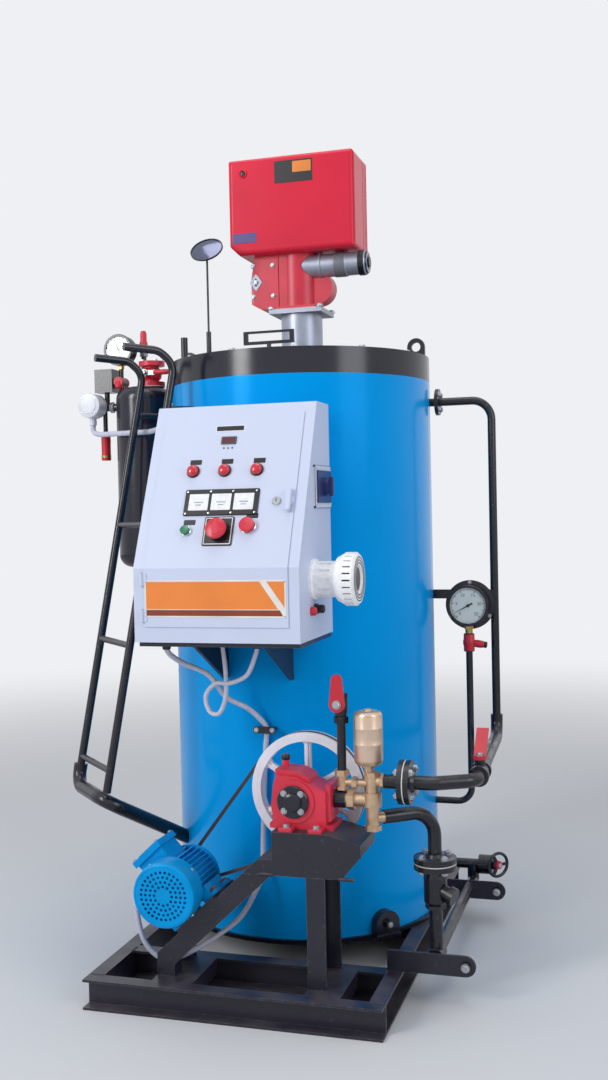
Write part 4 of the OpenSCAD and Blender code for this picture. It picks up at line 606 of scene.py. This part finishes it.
piece("door_plate", "panel_grey", (plate_white, [backing]), (plate_orange, [orange, orange_corner]),
      (plate_brown, [brown]), (chrome, pins), body="door")

# ---- Hooter and isolator
# The hooter is moulded in white ABS with slots round its rim and ribs on its face; black plates are painted shade in
# the slots and between the ribs. A red cap and a black gland sit under it. The isolator is a dark blue moulded switch
# with a rotary grip, in a white frame screwed to the cabinet's side.
HOOTER_AT, ISOLATOR_AT = np.array([190, -560, 1050]), np.array([190, -474, 1276])

abs_white = moulded_plastic("white_abs", "FCFDFE", 0.38, mark=1.5)
finish(abs_white, "panel_hooter")
# The black plates on the rim and the black rings on the face are painted shade in the slots and between the ribs.
shade_marks = [placed(slab(19.5, 3.6, 1, 0.6), spot, out, RIGHT)
         for spot, out in zip(*bolt_circle(HOOTER_AT + (96, 0, 0), RIGHT, 60.5, 24, 0))]
shade_marks.append(spun([(29.5, 108.2), (29.2, 109.2), (0, 109.4)], 36, HOOTER_AT, RIGHT))
shade_marks += [spun([(r, 114.1), (r + 2.8, 114.1), (r + 2.8, 114.5), (r, 114.5), (r, 114.1)], 48, HOOTER_AT, RIGHT)
          for r in (37.5, 44.5, 51.5)]
piece("hooter_shade_marks", "hooter_white", (black_plastic, shade_marks))
hooter_cap = [(11, 0), (11, 8), (9.5, 12), (5.5, 14.5), (0, 15)]
gland = [(13, 0), (13, 8), (10.5, 9), (10.5, 21), (8.5, 24), (0, 25)]
piece("hooter_cap", "hooter_white", (red_button, [spun(hooter_cap, 24, HOOTER_AT + (0, -30, -76), RIGHT)]),
      (black_plastic, [spun(gland, 12, HOOTER_AT + (0, 4, -73), RIGHT)]))
isolator_blue = moulded_plastic("blue_moulded_switch", "27356E", 0.33)
frame_white = moulded_plastic("white_moulded_frame", "DADDE6", 0.4)
finish(isolator_blue, "panel_isolator")
frame_screws = [spun([(3.5, 0), (3, 1.2), (0, 1.6)], 16, ISOLATOR_AT + (5.1, y, z), RIGHT)
                for y in (-66, 66) for z in (-46, 46)]
piece("isolator_frame", "isolator_blue",
      (frame_white, [placed(slab(146.2, 106.2, 6, 5.2, 1.5), ISOLATOR_AT, RIGHT, BACK)]), (zinc, frame_screws))

# ---- Ladder
# Two stringers of 22 mm tube bent over at the top into hooks, three rungs and a stouter foot pipe, all welded. Black
# gloss, with grey rubs where hands hold it and boots stand on it.
tube_black = painted_steel("ladder_black_gloss", "191923 57555C 55575F", 0.45, 0.55, 0.2, patch=70, rub=16)
finish(tube_black, "ladder_stringers", "ladder_rungs", "ladder_foot_pipe")

# ---- Separator vessel and steam valve
# A welded vessel with round heads, stood off the casing on two flanged necks, in black gloss. On top is a red globe
# valve with a steel lever, a bare stem and a white flange gasket. A short red relief valve stands beside it.
VESSEL_Y, VALVE_X, LEVER_Z, RELIEF_AT = -20, -462, 1638, np.array([-506, 22, 1712])

finish(black_gloss, "separator_vessel")
finish(red_cast, "steam_valve")
steel_bare = painted_steel("bare_turned_steel", "A6A8AC 7A7672 C8CACE", 0.3, 0.4, 0.3, patch=30, mark=1.2, metal=0.95)
finish(steel_bare, "steam_valve_lever")
(_, _, valve_low), (_, _, valve_top) = box_mm("steam_valve")
valve_bolts, _ = bolt_circle((VALVE_X, VESSEL_Y, valve_top), UP, 30)
piece("steam_valve_bolts", "bright_steel", (zinc, bolts(7, valve_bolts, UP)),
      (gasket_white, [drum(39.5, -0.6, 1.4, 36, (VALVE_X, VESSEL_Y, valve_low))]))
lever_nut = bolts(9, [(VALVE_X, -81.5, LEVER_Z)], FRONT)[1:]
piece("steam_lever_nut", "bright_steel", (zinc, lever_nut), body="steam_handle")
red_dipped = painted_steel("red_dipped_vinyl", "C92234 A06A6C D84A58", 0.2, 0.15, 0.38, patch=50, mark=3, relief=0.06)
lever_grip = carried([(VALVE_X + x, -75.5, LEVER_Z) for x in (30, 36, 50, 66, 78, 79.5)],
                     [6, 7.8, 8.2, 8.2, 7.5, 4], 16, UP)
piece("steam_lever_grip", "bright_steel", (red_dipped, [lever_grip]), body="steam_handle")
stem = carried([RELIEF_AT - (0, 0, drop) for drop in (182, 100, 12)], 8, 16)
bonnet = [(11, 0), (12.5, 4), (12.5, 30), (10, 36), (10, 58), (7, 66), (0, 68)]
piece("vessel_relief_valve", "handle_red", (red_cast, [spun(bonnet, 24, RELIEF_AT)]),
      (steel_bare, [drum(13.5, -12, 2, 6, RELIEF_AT)]), (tube_black, [stem]))

# ---- Left gauge, cocks and pressure switch
# Bourdon gauges in black painted steel cases have a white enamel dial with a printed scale, a black needle and a glass.
# The cocks under them are red dipped, and the pressure switch is a white enamelled bell with a screwed cap.
GAUGE_X, GAUGE_Y, COCK_Z, DROP_AT, SWITCH_X, SWITCH_Z = -563, -20, 1620, (-620, -20, 1385), -645, 1549

finish(black_gloss, "gauge_manifold", "left_gauge")
switch_white = painted_steel("white_switch_enamel", "E4E7EE A8A6A2 C9CCD4", 0.3, 0.2, 0.3, patch=40, mark=4,
                             relief=0.06)
finish(switch_white, "pressure_switch")
dial_white = painted_steel("white_dial_enamel", "F0F0EC D8D6D0 E6E4DE", 0.0, 0.1, 0.35, relief=0.02, drift=0.02)
print_black = moulded_plastic("black_dial_print", "1C1C20", 0.5)
glass = bpy.data.materials.new("float_glass")
tree = emptied(glass)
film = ranged(tree, noise(tree, add(tree, "TexCoord").outputs["Object"], 1000 / 45, 4.0), 0.45, 0.7, 0.02, 0.16)
slant = add(tree, "LayerWeight", {"Blend": 0.5}).outputs["Facing"]
steep = add(tree, "Math", {0: slant, 1: 4.0}, operation="POWER")
shared_out(tree, "OutputMaterial", ranged(tree, steep, 0.0, 1.0, 0.03, 0.7),
           add(tree, "BsdfTransparent", {"Color": linear("FCFEFE")}),
           add(tree, "BsdfPrincipled", {"Base Color": linear("FFFFFF"), "Roughness": film, "Metallic": 1.0}))


def dial(name, centre, radius, share, figures):
    """A gauge's dial, scale, needle and glass. Ticks stand on an arc of 270 degrees, every fifth one longer; the
    needle points at a share of the scale, and figures are printed inside the long ticks."""
    def on_dial(part, reach, lift):
        """The point at a part of the scale and a share of the radius, and the direction to it from the middle."""
        a = math.radians(225 - 270 * part)
        out = np.array([math.cos(a), 0, math.sin(a)])
        return centre + out * radius * reach - (0, lift, 0), out

    marks = []
    for k in range(51):
        long = 0.13 if k % 10 == 0 else 0.085 if k % 5 == 0 else 0.05
        width = radius * (0.018 if k % 5 == 0 else 0.010)
        spot, out = on_dial(k / 50, 0.93 - long / 2, 1)
        marks.append(placed(slab(radius * long, width * 2, width * 0.4, 0.25, 0.1, 2), spot, FRONT, out))
    arc = [on_dial(part, 0.935, 1.15)[0] for part in np.linspace(0, 1, 60)]
    marks.append(carried(arc, 0.4, 6, FRONT))
    numbers = bmesh.new()
    for k, figure in enumerate(figures):
        words = bpy.data.curves.new("figure", "FONT")
        words.body, words.size, words.extrude = figure, radius * 0.24 / 1000, 0.00012
        words.align_x, words.align_y = "CENTER", "CENTER"
        held = shown("figure", words)
        flat = bpy.data.meshes.new_from_object(held.evaluated_get(bpy.context.evaluated_depsgraph_get()))
        x, y, z = on_dial(k / (len(figures) - 1), 0.64, 1.1)[0] / 1000
        flat.transform(Matrix([[1, 0, 0, x], [0, 0, -1, y], [0, 1, 0, z], [0, 0, 0, 1]]))
        numbers.from_mesh(flat)
        bpy.data.objects.remove(held)
    stamped = bpy.data.meshes.new(name + "_figures")
    bmesh.ops.recalc_face_normals(numbers, faces=numbers.faces)
    numbers.to_mesh(stamped)
    numbers.free()
    stamped.materials.clear()
    stamped.materials.append(print_black)
    made = shown(name + "_figures", stamped)
    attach(made, "boiler")
    needle = np.array([(-0.28, -0.045), (0.1, -0.032), (0.86, -0.006), (0.86, 0.006), (0.1, 0.032), (-0.28, 0.045)])
    at, out = on_dial(share, 0, 2.5)
    marks += [placed(plate(needle * radius, 0.6, 0.2), at, FRONT, out),
              spun([(radius * 0.09, 0.5), (radius * 0.085, 3.8), (0, 4.2)], 24, centre, FRONT)]
    piece(name + "_dial", "gloss_black", (dial_white, [drum(radius, 0.1, 1, 64, centre, FRONT)]), (print_black, marks))
    piece(name + "_glass", "gloss_black", (glass, [spun([(radius, 4.8), (radius, 6), (0, 6.2)], 64, centre, FRONT)]))


dial("left_gauge", (GAUGE_X, -35, 1717), 39.9, 0.42, ("0", "4", "8", "12", "16", "20"))
union = spun([(16.5, 0), (16.5, 11), (13.5, 13.5), (0, 14)], 6, (-600, GAUGE_Y, 1545), RIGHT)
piece("manifold_union", "bright_steel", (zinc, [union]))
brass = painted_steel("turned_brass", "B99A5A 7C6A48 D4BC80", 0.3, 0.3, 0.3, patch=30, mark=1.5, metal=0.95)
piece("left_gauge_nut", "gloss_black",
      (brass, [spun([(9.5, 0), (9.5, 10), (8, 12)], 6, (GAUGE_X, GAUGE_Y, 1660))]))
skins = [spun([(14.2, -0.5), (14.6, 6), (14.6, 12), (14.2, 18), (14.2, 50), (14.6, 56), (14.6, 64), (14.2, 70),
               (14.2, 86.5)], 32, DROP_AT)]
skins += [spun([(15.3, 12.5), (15.6, 14.5), (15.6, 22.5), (14.8, 25.5)], 28, (GAUGE_X, GAUGE_Y, COCK_Z), side)
          for side in (FRONT, BACK)]
skins.append(spun([(11.8, 0), (12.2, 4), (12.2, 16), (11.2, 21), (0, 22)], 24, (GAUGE_X, -35.5, COCK_Z),
                  (0, -0.34, -0.94)))
bands = [drum(15.2, z, z + 6, 32, DROP_AT) for z in (8, 72)]
piece("cock_skins", "handle_red", (red_dipped, skins), (brass, bands))
switch_cap = spun([(36.8, 0), (36.8, 3), (35.5, 5.5), (24, 7.2), (23.5, 8.5), (0, 9.5)], 44,
                  (SWITCH_X, -76.8, SWITCH_Z), FRONT)
switch_screws = [spun([(2.8, 0), (2.4, 1.2), (0, 1.6)], 14, spot, FRONT)
                 for spot in bolt_circle((SWITCH_X, -82.6, SWITCH_Z), FRONT, 30)[0]]
piece("switch_cap", "switch_white", (switch_white, [switch_cap]), (zinc, switch_screws))

# ---- Pump stand and bed
# Angle iron posts, two flat braces at 43 degrees and a folded 6 mm plate bed, welded and brushed black. Rust dust from
# the motor's feet and the pump lies on the upper faces, and four bolts hold the crankcase down.
stand_paint = painted_steel("stand_black_gloss", "201F2C 5E5452 54545C", 0.6, 0.45, 0.3, edges=0.7)
finish(stand_paint, "stand_legs", "pump_bed", "supply_brackets")
piece("stand_welds", "frame_black",
      (stand_paint, [weld((x, -649.7, 345), (x + 36, -649.7, 345), rings) for x, rings in ((62, 40), (262, 39))]))

# ---- Motor and its pulley
# A foot mounted motor of cast aluminium in blue enamel, with cooling fins, a punched steel fan cowl and a terminal box.
# Its feet stand on the stand's sloping plate with rusty bolts. The shaft and the V pulley are bare turned steel.
MOTOR_AT, MOTOR_LEAN, COWL_RADIUS = np.array([-163, 0, 293]), 43, 80

motor_blue = painted_steel("motor_blue_enamel", "0098DE 4F9CCC 0872BC", 0.35, 0.4, 0.3, patch=50, mark=2, relief=0.3,
                           drift=0.1, sheen="6FBCF2")
finish(motor_blue, "motor_body")
finish(steel_bare, "motor_rotor")
rusty = painted_steel("rusted_steel", "7A4A34 8A6A58 A88468", 0.3, 0.5, 0.75, patch=10, rub=3, mark=1, relief=0.6,
                      drift=0.3, metal=0.2)
along_foot = heading(MOTOR_LEAN)[[0, 2, 1]]
off_foot = np.cross(along_foot, BACK)


def on_motor(x, y, z):
    """A point of the motor: x along its feet, y along the shaft, z away from its feet."""
    return MOTOR_AT + along_foot * x + off_foot * z + (0, y, 0)


foot_bolts = bolts(9, [on_motor(x, y, -70) for x in (-69, 69) for y in (-623, -551)], off_foot)
bright = bolts(5, [on_motor(x, y, 114) for x in (-40, 40) for y in (-635, -549)], off_foot)
bright += [spun([(4.5, -1), (4, 1.8), (0, 2.4)], 14, spot, out)
           for spot, out in zip(*bolt_circle(MOTOR_AT + (0, -661, 0), FRONT, COWL_RADIUS, 4, MOTOR_LEAN))]
tag = placed(slab(50, 32, 2, 0.7), on_motor(0, -592, 116.5), off_foot, BACK)
piece("motor_foot_bolts", "motor_blue", (rusty, foot_bolts), (zinc, bright), (silver, [tag]))
piece("pulley_bolt", "bright_steel", (zinc, bolts(9, [MOTOR_AT + (0, -459, 0)], BACK)), body="rotor")

# ---- Drive belt
# One endless V belt of rubber with a woven cotton cover, dusty and polished on its sides where it runs in the grooves.
belt_rubber = painted_steel("belt_rubber", "4B4548 7A7276 3A3438", 0.3, 0.5, 0.72, patch=50, rub=6, mark=1.2,
                            relief=0.5)
finish(belt_rubber, "drive_belt")

# ---- Flywheel
# A grey iron casting with six ribbed spokes, painted pale grey by brush. The rim's groove is stained with rubber dust.
# The crankshaft's end is bare steel with a centre.
WHEEL_AT = np.array([142, 0, 515])

wheel_paint = painted_steel("pale_grey_brushed_paint", "F0F2FC BDB8C0 B4B4C0", 0.3, 0.3, 0.42, patch=50, rub=9,
                            mark=2.8, relief=0.4, drift=0.07)
finish(wheel_paint, "flywheel")
shaft_face = spun([(11.9, 0), (11.2, 0.8), (3, 0.9), (0, 0.3)], 28, WHEEL_AT + (0, -455, 0), BACK)
piece("flywheel_shaft_end", "wheel_grey", (steel_bare, [shaft_face]), body="wheel")

# ---- Crankcase and its cover
# A grey iron casting enamelled red, on two feet bolted to the bed. The black crank cover has four bright bolts and a
# bright centre plug, and a black gland ring joins the bronze head. A small breather cap stands on top.
CRANK_COVER_AT, FEET_XS = WHEEL_AT + (0, -616, 0), (128, 202)

finish(red_cast, "crankcase")
finish(black_gloss, "crank_cover")
cover_heads = []
for spot, out in zip(*bolt_circle(CRANK_COVER_AT, FRONT, 30)):
    cover_heads += [spun([(6.2, 6.8), (6.2, 11.8), (5.4, 12.7), (0, 12.8)], 6, spot, FRONT, out),
                    spun([(8.2, 7.8), (8, 9.2)], 20, spot, FRONT)]
plug = spun([(9.5, 14.5), (9, 14.9), (3, 14.95), (0, 14.9)], 28, CRANK_COVER_AT, FRONT)
piece("crank_cover_bolts", "bright_steel", (zinc, cover_heads), (steel_bare, [plug]))
feet = [placed(slab(36, 34, 5, 9, 2), (x, -628.5, 448)) for x in FEET_XS]
piece("crankcase_feet", "burner_red", (red_cast, feet), (zinc, bolts(9, [(x, -630.5, 457) for x in FEET_XS], UP)))
breather = [(10.5, 25.5), (11.5, 28), (11.5, 35), (9, 39), (0, 40)]
piece("breather_cap", "burner_red", (black_plastic, [spun(breather, 24, (108, -560, 580))]))

# ---- Bronze head and air vessel
# The pump's head is a gunmetal casting with screwed unions, and the spun air vessel on it is lacquered brass. Both have
# browned in their hollows and stay bright on the hexagons.
AIR_VESSEL = (318, -560, 600)

gunmetal = painted_steel("cast_gunmetal", "CCAE90 96867A E4CEB4", 0.3, 0.5, 0.4, patch=25, rub=6, mark=2, relief=0.5,
                         drift=0.18, metal=0.75)
finish(gunmetal, "pump_head")
vessel_brass = painted_steel("lacquered_spun_brass", "DEC4AE AA9888 ECD8C6", 0.2, 0.25, 0.3, patch=60, mark=2,
                             relief=0.06, drift=0.08, metal=0.7)
skin = [(0, 0.4), (21, 0.2), (30.5, 3), (35.2, 13.5), (35.3, 50), (35.7, 51.2), (35.7, 53.2), (35.3, 54.4),
        (35.3, 88.5), (35.7, 89.7), (35.7, 91.7), (35.3, 92.9), (35.2, 118.5), (33.7, 124.5), (29.8, 129.5),
        (21.5, 132.2), (8.5, 132.4), (8.5, 136.4), (0, 136.5)]
collar = [(18.5, -3.5), (18.5, 4), (16.5, 5.5)]
piece("air_vessel_skin", "bronze", (vessel_brass, [spun(skin, 48, AIR_VESSEL)]),
      (gunmetal, [spun(collar, 6, AIR_VESSEL)]))

# ---- Relief cock
# Black iron pipe with a ball cock whose flat lever is dipped in red vinyl, held by a bright nut.
pipe_black = painted_steel("pipe_black_gloss", "191922 5A585C 8A8B92", 0.45, 0.35, 0.22, patch=60, rub=10)
finish(pipe_black, "relief_pipe", "discharge_pipe", "riser_pipe", "gauge_pipe", "suction_bend", "suction_strainer",
       "supply_pipe")
finish(red_dipped, "relief_lever", "feed_valve_lever")
piece("relief_lever_nut", "handle_red", (zinc, bolts(10, [(251, -600, 750)], FRONT)), body="relief_handle")

# ---- Discharge, riser and feed valve
# Black iron pipe with forged flanges, four bolts each and a white gasket between, then the ball valve that feeds the
# boiler, and the riser up to the flange on the casing. The paint is chipped pale at the joints.
FLANGE_CIRCLE, STUD, GASKET_RADIUS, GASKET_HALF = 39.2, 10, 52.7, 1.4
FEED_X = np.interp(-430, (-508, 63), (571, 546))


def flange_joint(at, up, low, high):
    """Four studs with a nut at either end on the bolt circle, and the gasket between the two flanges."""
    up, middle = np.array(up), (low + high) / 2
    parts = []
    for spot in bolt_circle(at, up, FLANGE_CIRCLE)[0]:
        parts += bolts(STUD, [spot + up * high], up) + bolts(STUD, [spot + up * low], -up)
        parts.append(carried([spot + up * h for h in (low - 10, middle, high + 10)], 4.5, 12, up[::-1]))
    return (zinc, parts), (gasket_white, [drum(GASKET_RADIUS, -GASKET_HALF, GASKET_HALF, 56, at + up * middle, up)])


piece("discharge_flange_joint", "bright_steel", *flange_joint((0, -560, 562), RIGHT, 394, 423))
riser_bolts, _ = bolt_circle((398, 63, 1522), RIGHT, 28.5)
piece("riser_flange_bolts", "bright_steel", (zinc, bolts(7, riser_bolts, RIGHT)))
piece("feed_lever_nut", "handle_red", (zinc, bolts(9, [(FEED_X, -430, 606)], UP)), body="feed_handle")

# ---- Right gauge and its cock
# The boiler's pressure gauge stands on a flat bar off the riser: black pressed steel with a back flange. Under it are a
# brass union and a red cock with a black tip on its handle.
GAUGE_X, GAUGE_Y, GAUGE_Z = 478, 16.5, 939

finish(black_gloss, "right_gauge")
dial("right_gauge", (GAUGE_X, 5.5, GAUGE_Z), 50.9, 0.06, ("0", "5", "10", "15", "20", "25"))
gauge_screws, _ = bolt_circle((GAUGE_X, 45.5, GAUGE_Z), FRONT, 63.5, 3, 0)
union = [spun([(13, 0), (13, 9), (11.5, 11)], 6, (GAUGE_X, GAUGE_Y, 872.5)),
         drum(10.5, 0, 11, 24, (GAUGE_X, GAUGE_Y, 861))]
piece("right_gauge_union", "gloss_black", (zinc, bolts(5, gauge_screws, FRONT)), (brass, union))
cock = spun([(13.8, -0.4), (15.4, 3), (15.6, 16), (17.2, 20), (17.2, 30), (15.6, 34), (15.4, 47), (13.8, 50.4)], 32,
            (GAUGE_X, GAUGE_Y, 809))
reach = np.linspace(0, 1, 12)
lever = carried(np.stack([487 + 34 * reach, np.full(12, GAUGE_Y), 832 - 4 * reach], -1),
                8.8 + 2.2 * np.sin(np.pi * reach), 18, BACK)
tip = carried([(x, GAUGE_Y, z) for x, z in ((521.5, 827.8), (523.5, 827.6), (527, 827.2), (528.6, 827))],
              [8.8, 9.2, 9, 6.5], 18, BACK)
piece("gauge_cock", "handle_red", (red_dipped, [cock, lever]), (black_plastic, [tip]))

# ---- Suction, strainer and supply
# The suction bend comes down to a flanged strainer and the supply pipe, which rests in two folded brackets bolted with
# bright screws. The stop valve's wheel has a dark rim and a red hub.
SUPPLY_WHEEL = dict(at=(494, 160, 171), up=heading(-45))

piece("suction_flange_joint", "bright_steel", *flange_joint((456, -456, 0), UP, 327, 356))
finish(tube_black, "supply_wheel")
hub = [(11.4, 52.5), (11.8, 55), (11.8, 63.2), (10.8, 65.6), (7.2, 65.8), (0, 65.6)]
hub_nut = [(7.2, 65.5), (7.2, 68.4), (6.2, 69.4), (0, 69.5)]
piece("supply_wheel_hub", "handle_red", (red_dipped, [spun(hub, 28, **SUPPLY_WHEEL)]),
      (zinc, [spun(hub_nut, 6, **SUPPLY_WHEEL)]), body="supply_handle")
piece("bracket_bolts", "frame_black", (zinc, bolts(10, [(534, y, 101) for y in (-501.5, 84.5)], FRONT)))

# ---- Panel cables
# Two leads in light grey PVC from the panel's tray, one of them clipped to the casing on its way to the motor, and a
# conduit to the pressure switch. Each is drawn along the source's points, smooth where the source's skin is faceted.
MOTOR_LEAD = [
    (-184, -603, 892.7), (-184, -603, 886), (-184, -602, 878), (-178, -590, 862), (-160, -555, 838), (-114, -500, 802),
    (-86, -450, 738), (-40, -415, 704), (-6, -392, 664), (2, -388, 640), (-2, -388, 590), (-9, -390, 460),
    (-12, -400, 300), (-11, -410, 264), (-25, -450, 218), (-47, -490, 176), (-92, -532, 142), (-140, -574, 116),
    (-190, -578, 92), (-235, -578, 90), (-272, -585, 130), (-287, -592, 200), (-286, -597, 265), (-272, -598, 304),
    (-256, -598, 322)]
HANGING_LOOP = [
    (40, -560, 892.7), (40, -560, 886), (39, -559, 878), (30, -546, 860), (-3, -520, 806), (-56, -502, 782),
    (-100, -488, 778), (-130, -482, 744), (-120, -481, 704), (-92, -484, 702), (-72, -490, 748), (-68, -498, 810),
    (-70, -507, 866), (-70, -508, 878), (-70, -508, 886), (-70, -508, 892.7)]
CONDUIT = [
    (-645, -54, 1490.7), (-645, -54, 1486), (-645, -55, 1479), (-632, -66, 1466), (-605, -82, 1460), (-551, -114, 1458),
    (-470, -150, 1456), (-407, -168, 1456), (-333, -262, 1456), (-256, -338, 1456), (-251, -380, 1456),
    (-250, -412, 1456), (-242, -428, 1456), (-232, -430, 1456)]


def drawn_through(points, steps=8):
    """A smooth path through points: on each span the cubic whose ends' slopes are half the step between the points on
    either side of them."""
    p = np.asarray(points, float)
    p = np.concatenate([2 * p[:1] - p[1:2], p, 2 * p[-1:] - p[-2:-1]])
    t = np.linspace(0, 1, steps, endpoint=False)[None, :, None]
    a, b, c, d = (p[i:len(p) - 3 + i, None] for i in range(4))
    path = 0.5 * (2 * b + (c - a) * t + (2 * a - 5 * b + 4 * c - d) * t ** 2 + (3 * b - a - 3 * c + d) * t ** 3)
    return np.concatenate([path.reshape(-1, 3), p[-2:-1]])


pvc_grey = moulded_plastic("grey_flexible_pvc", "C9CBDC", 0.42, mark=4)
leads = [carried(drawn_through(points), radius, 16, (0.31, 0.9, 0.21))
         for points, radius in ((MOTOR_LEAD, 6.8), (HANGING_LOOP, 5.9), (CONDUIT, 7.8))]
glands = [spun([(9.2, -14.5), (10.8, -11), (10.8, -0.2)], 12, (x, y, 892.8))
          for x, y in ((-184, -603), (40, -560), (-70, -508))]
made = piece("panel_leads", "cable_grey", (pvc_grey, leads), (black_plastic, glands))
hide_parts("panel_cables")
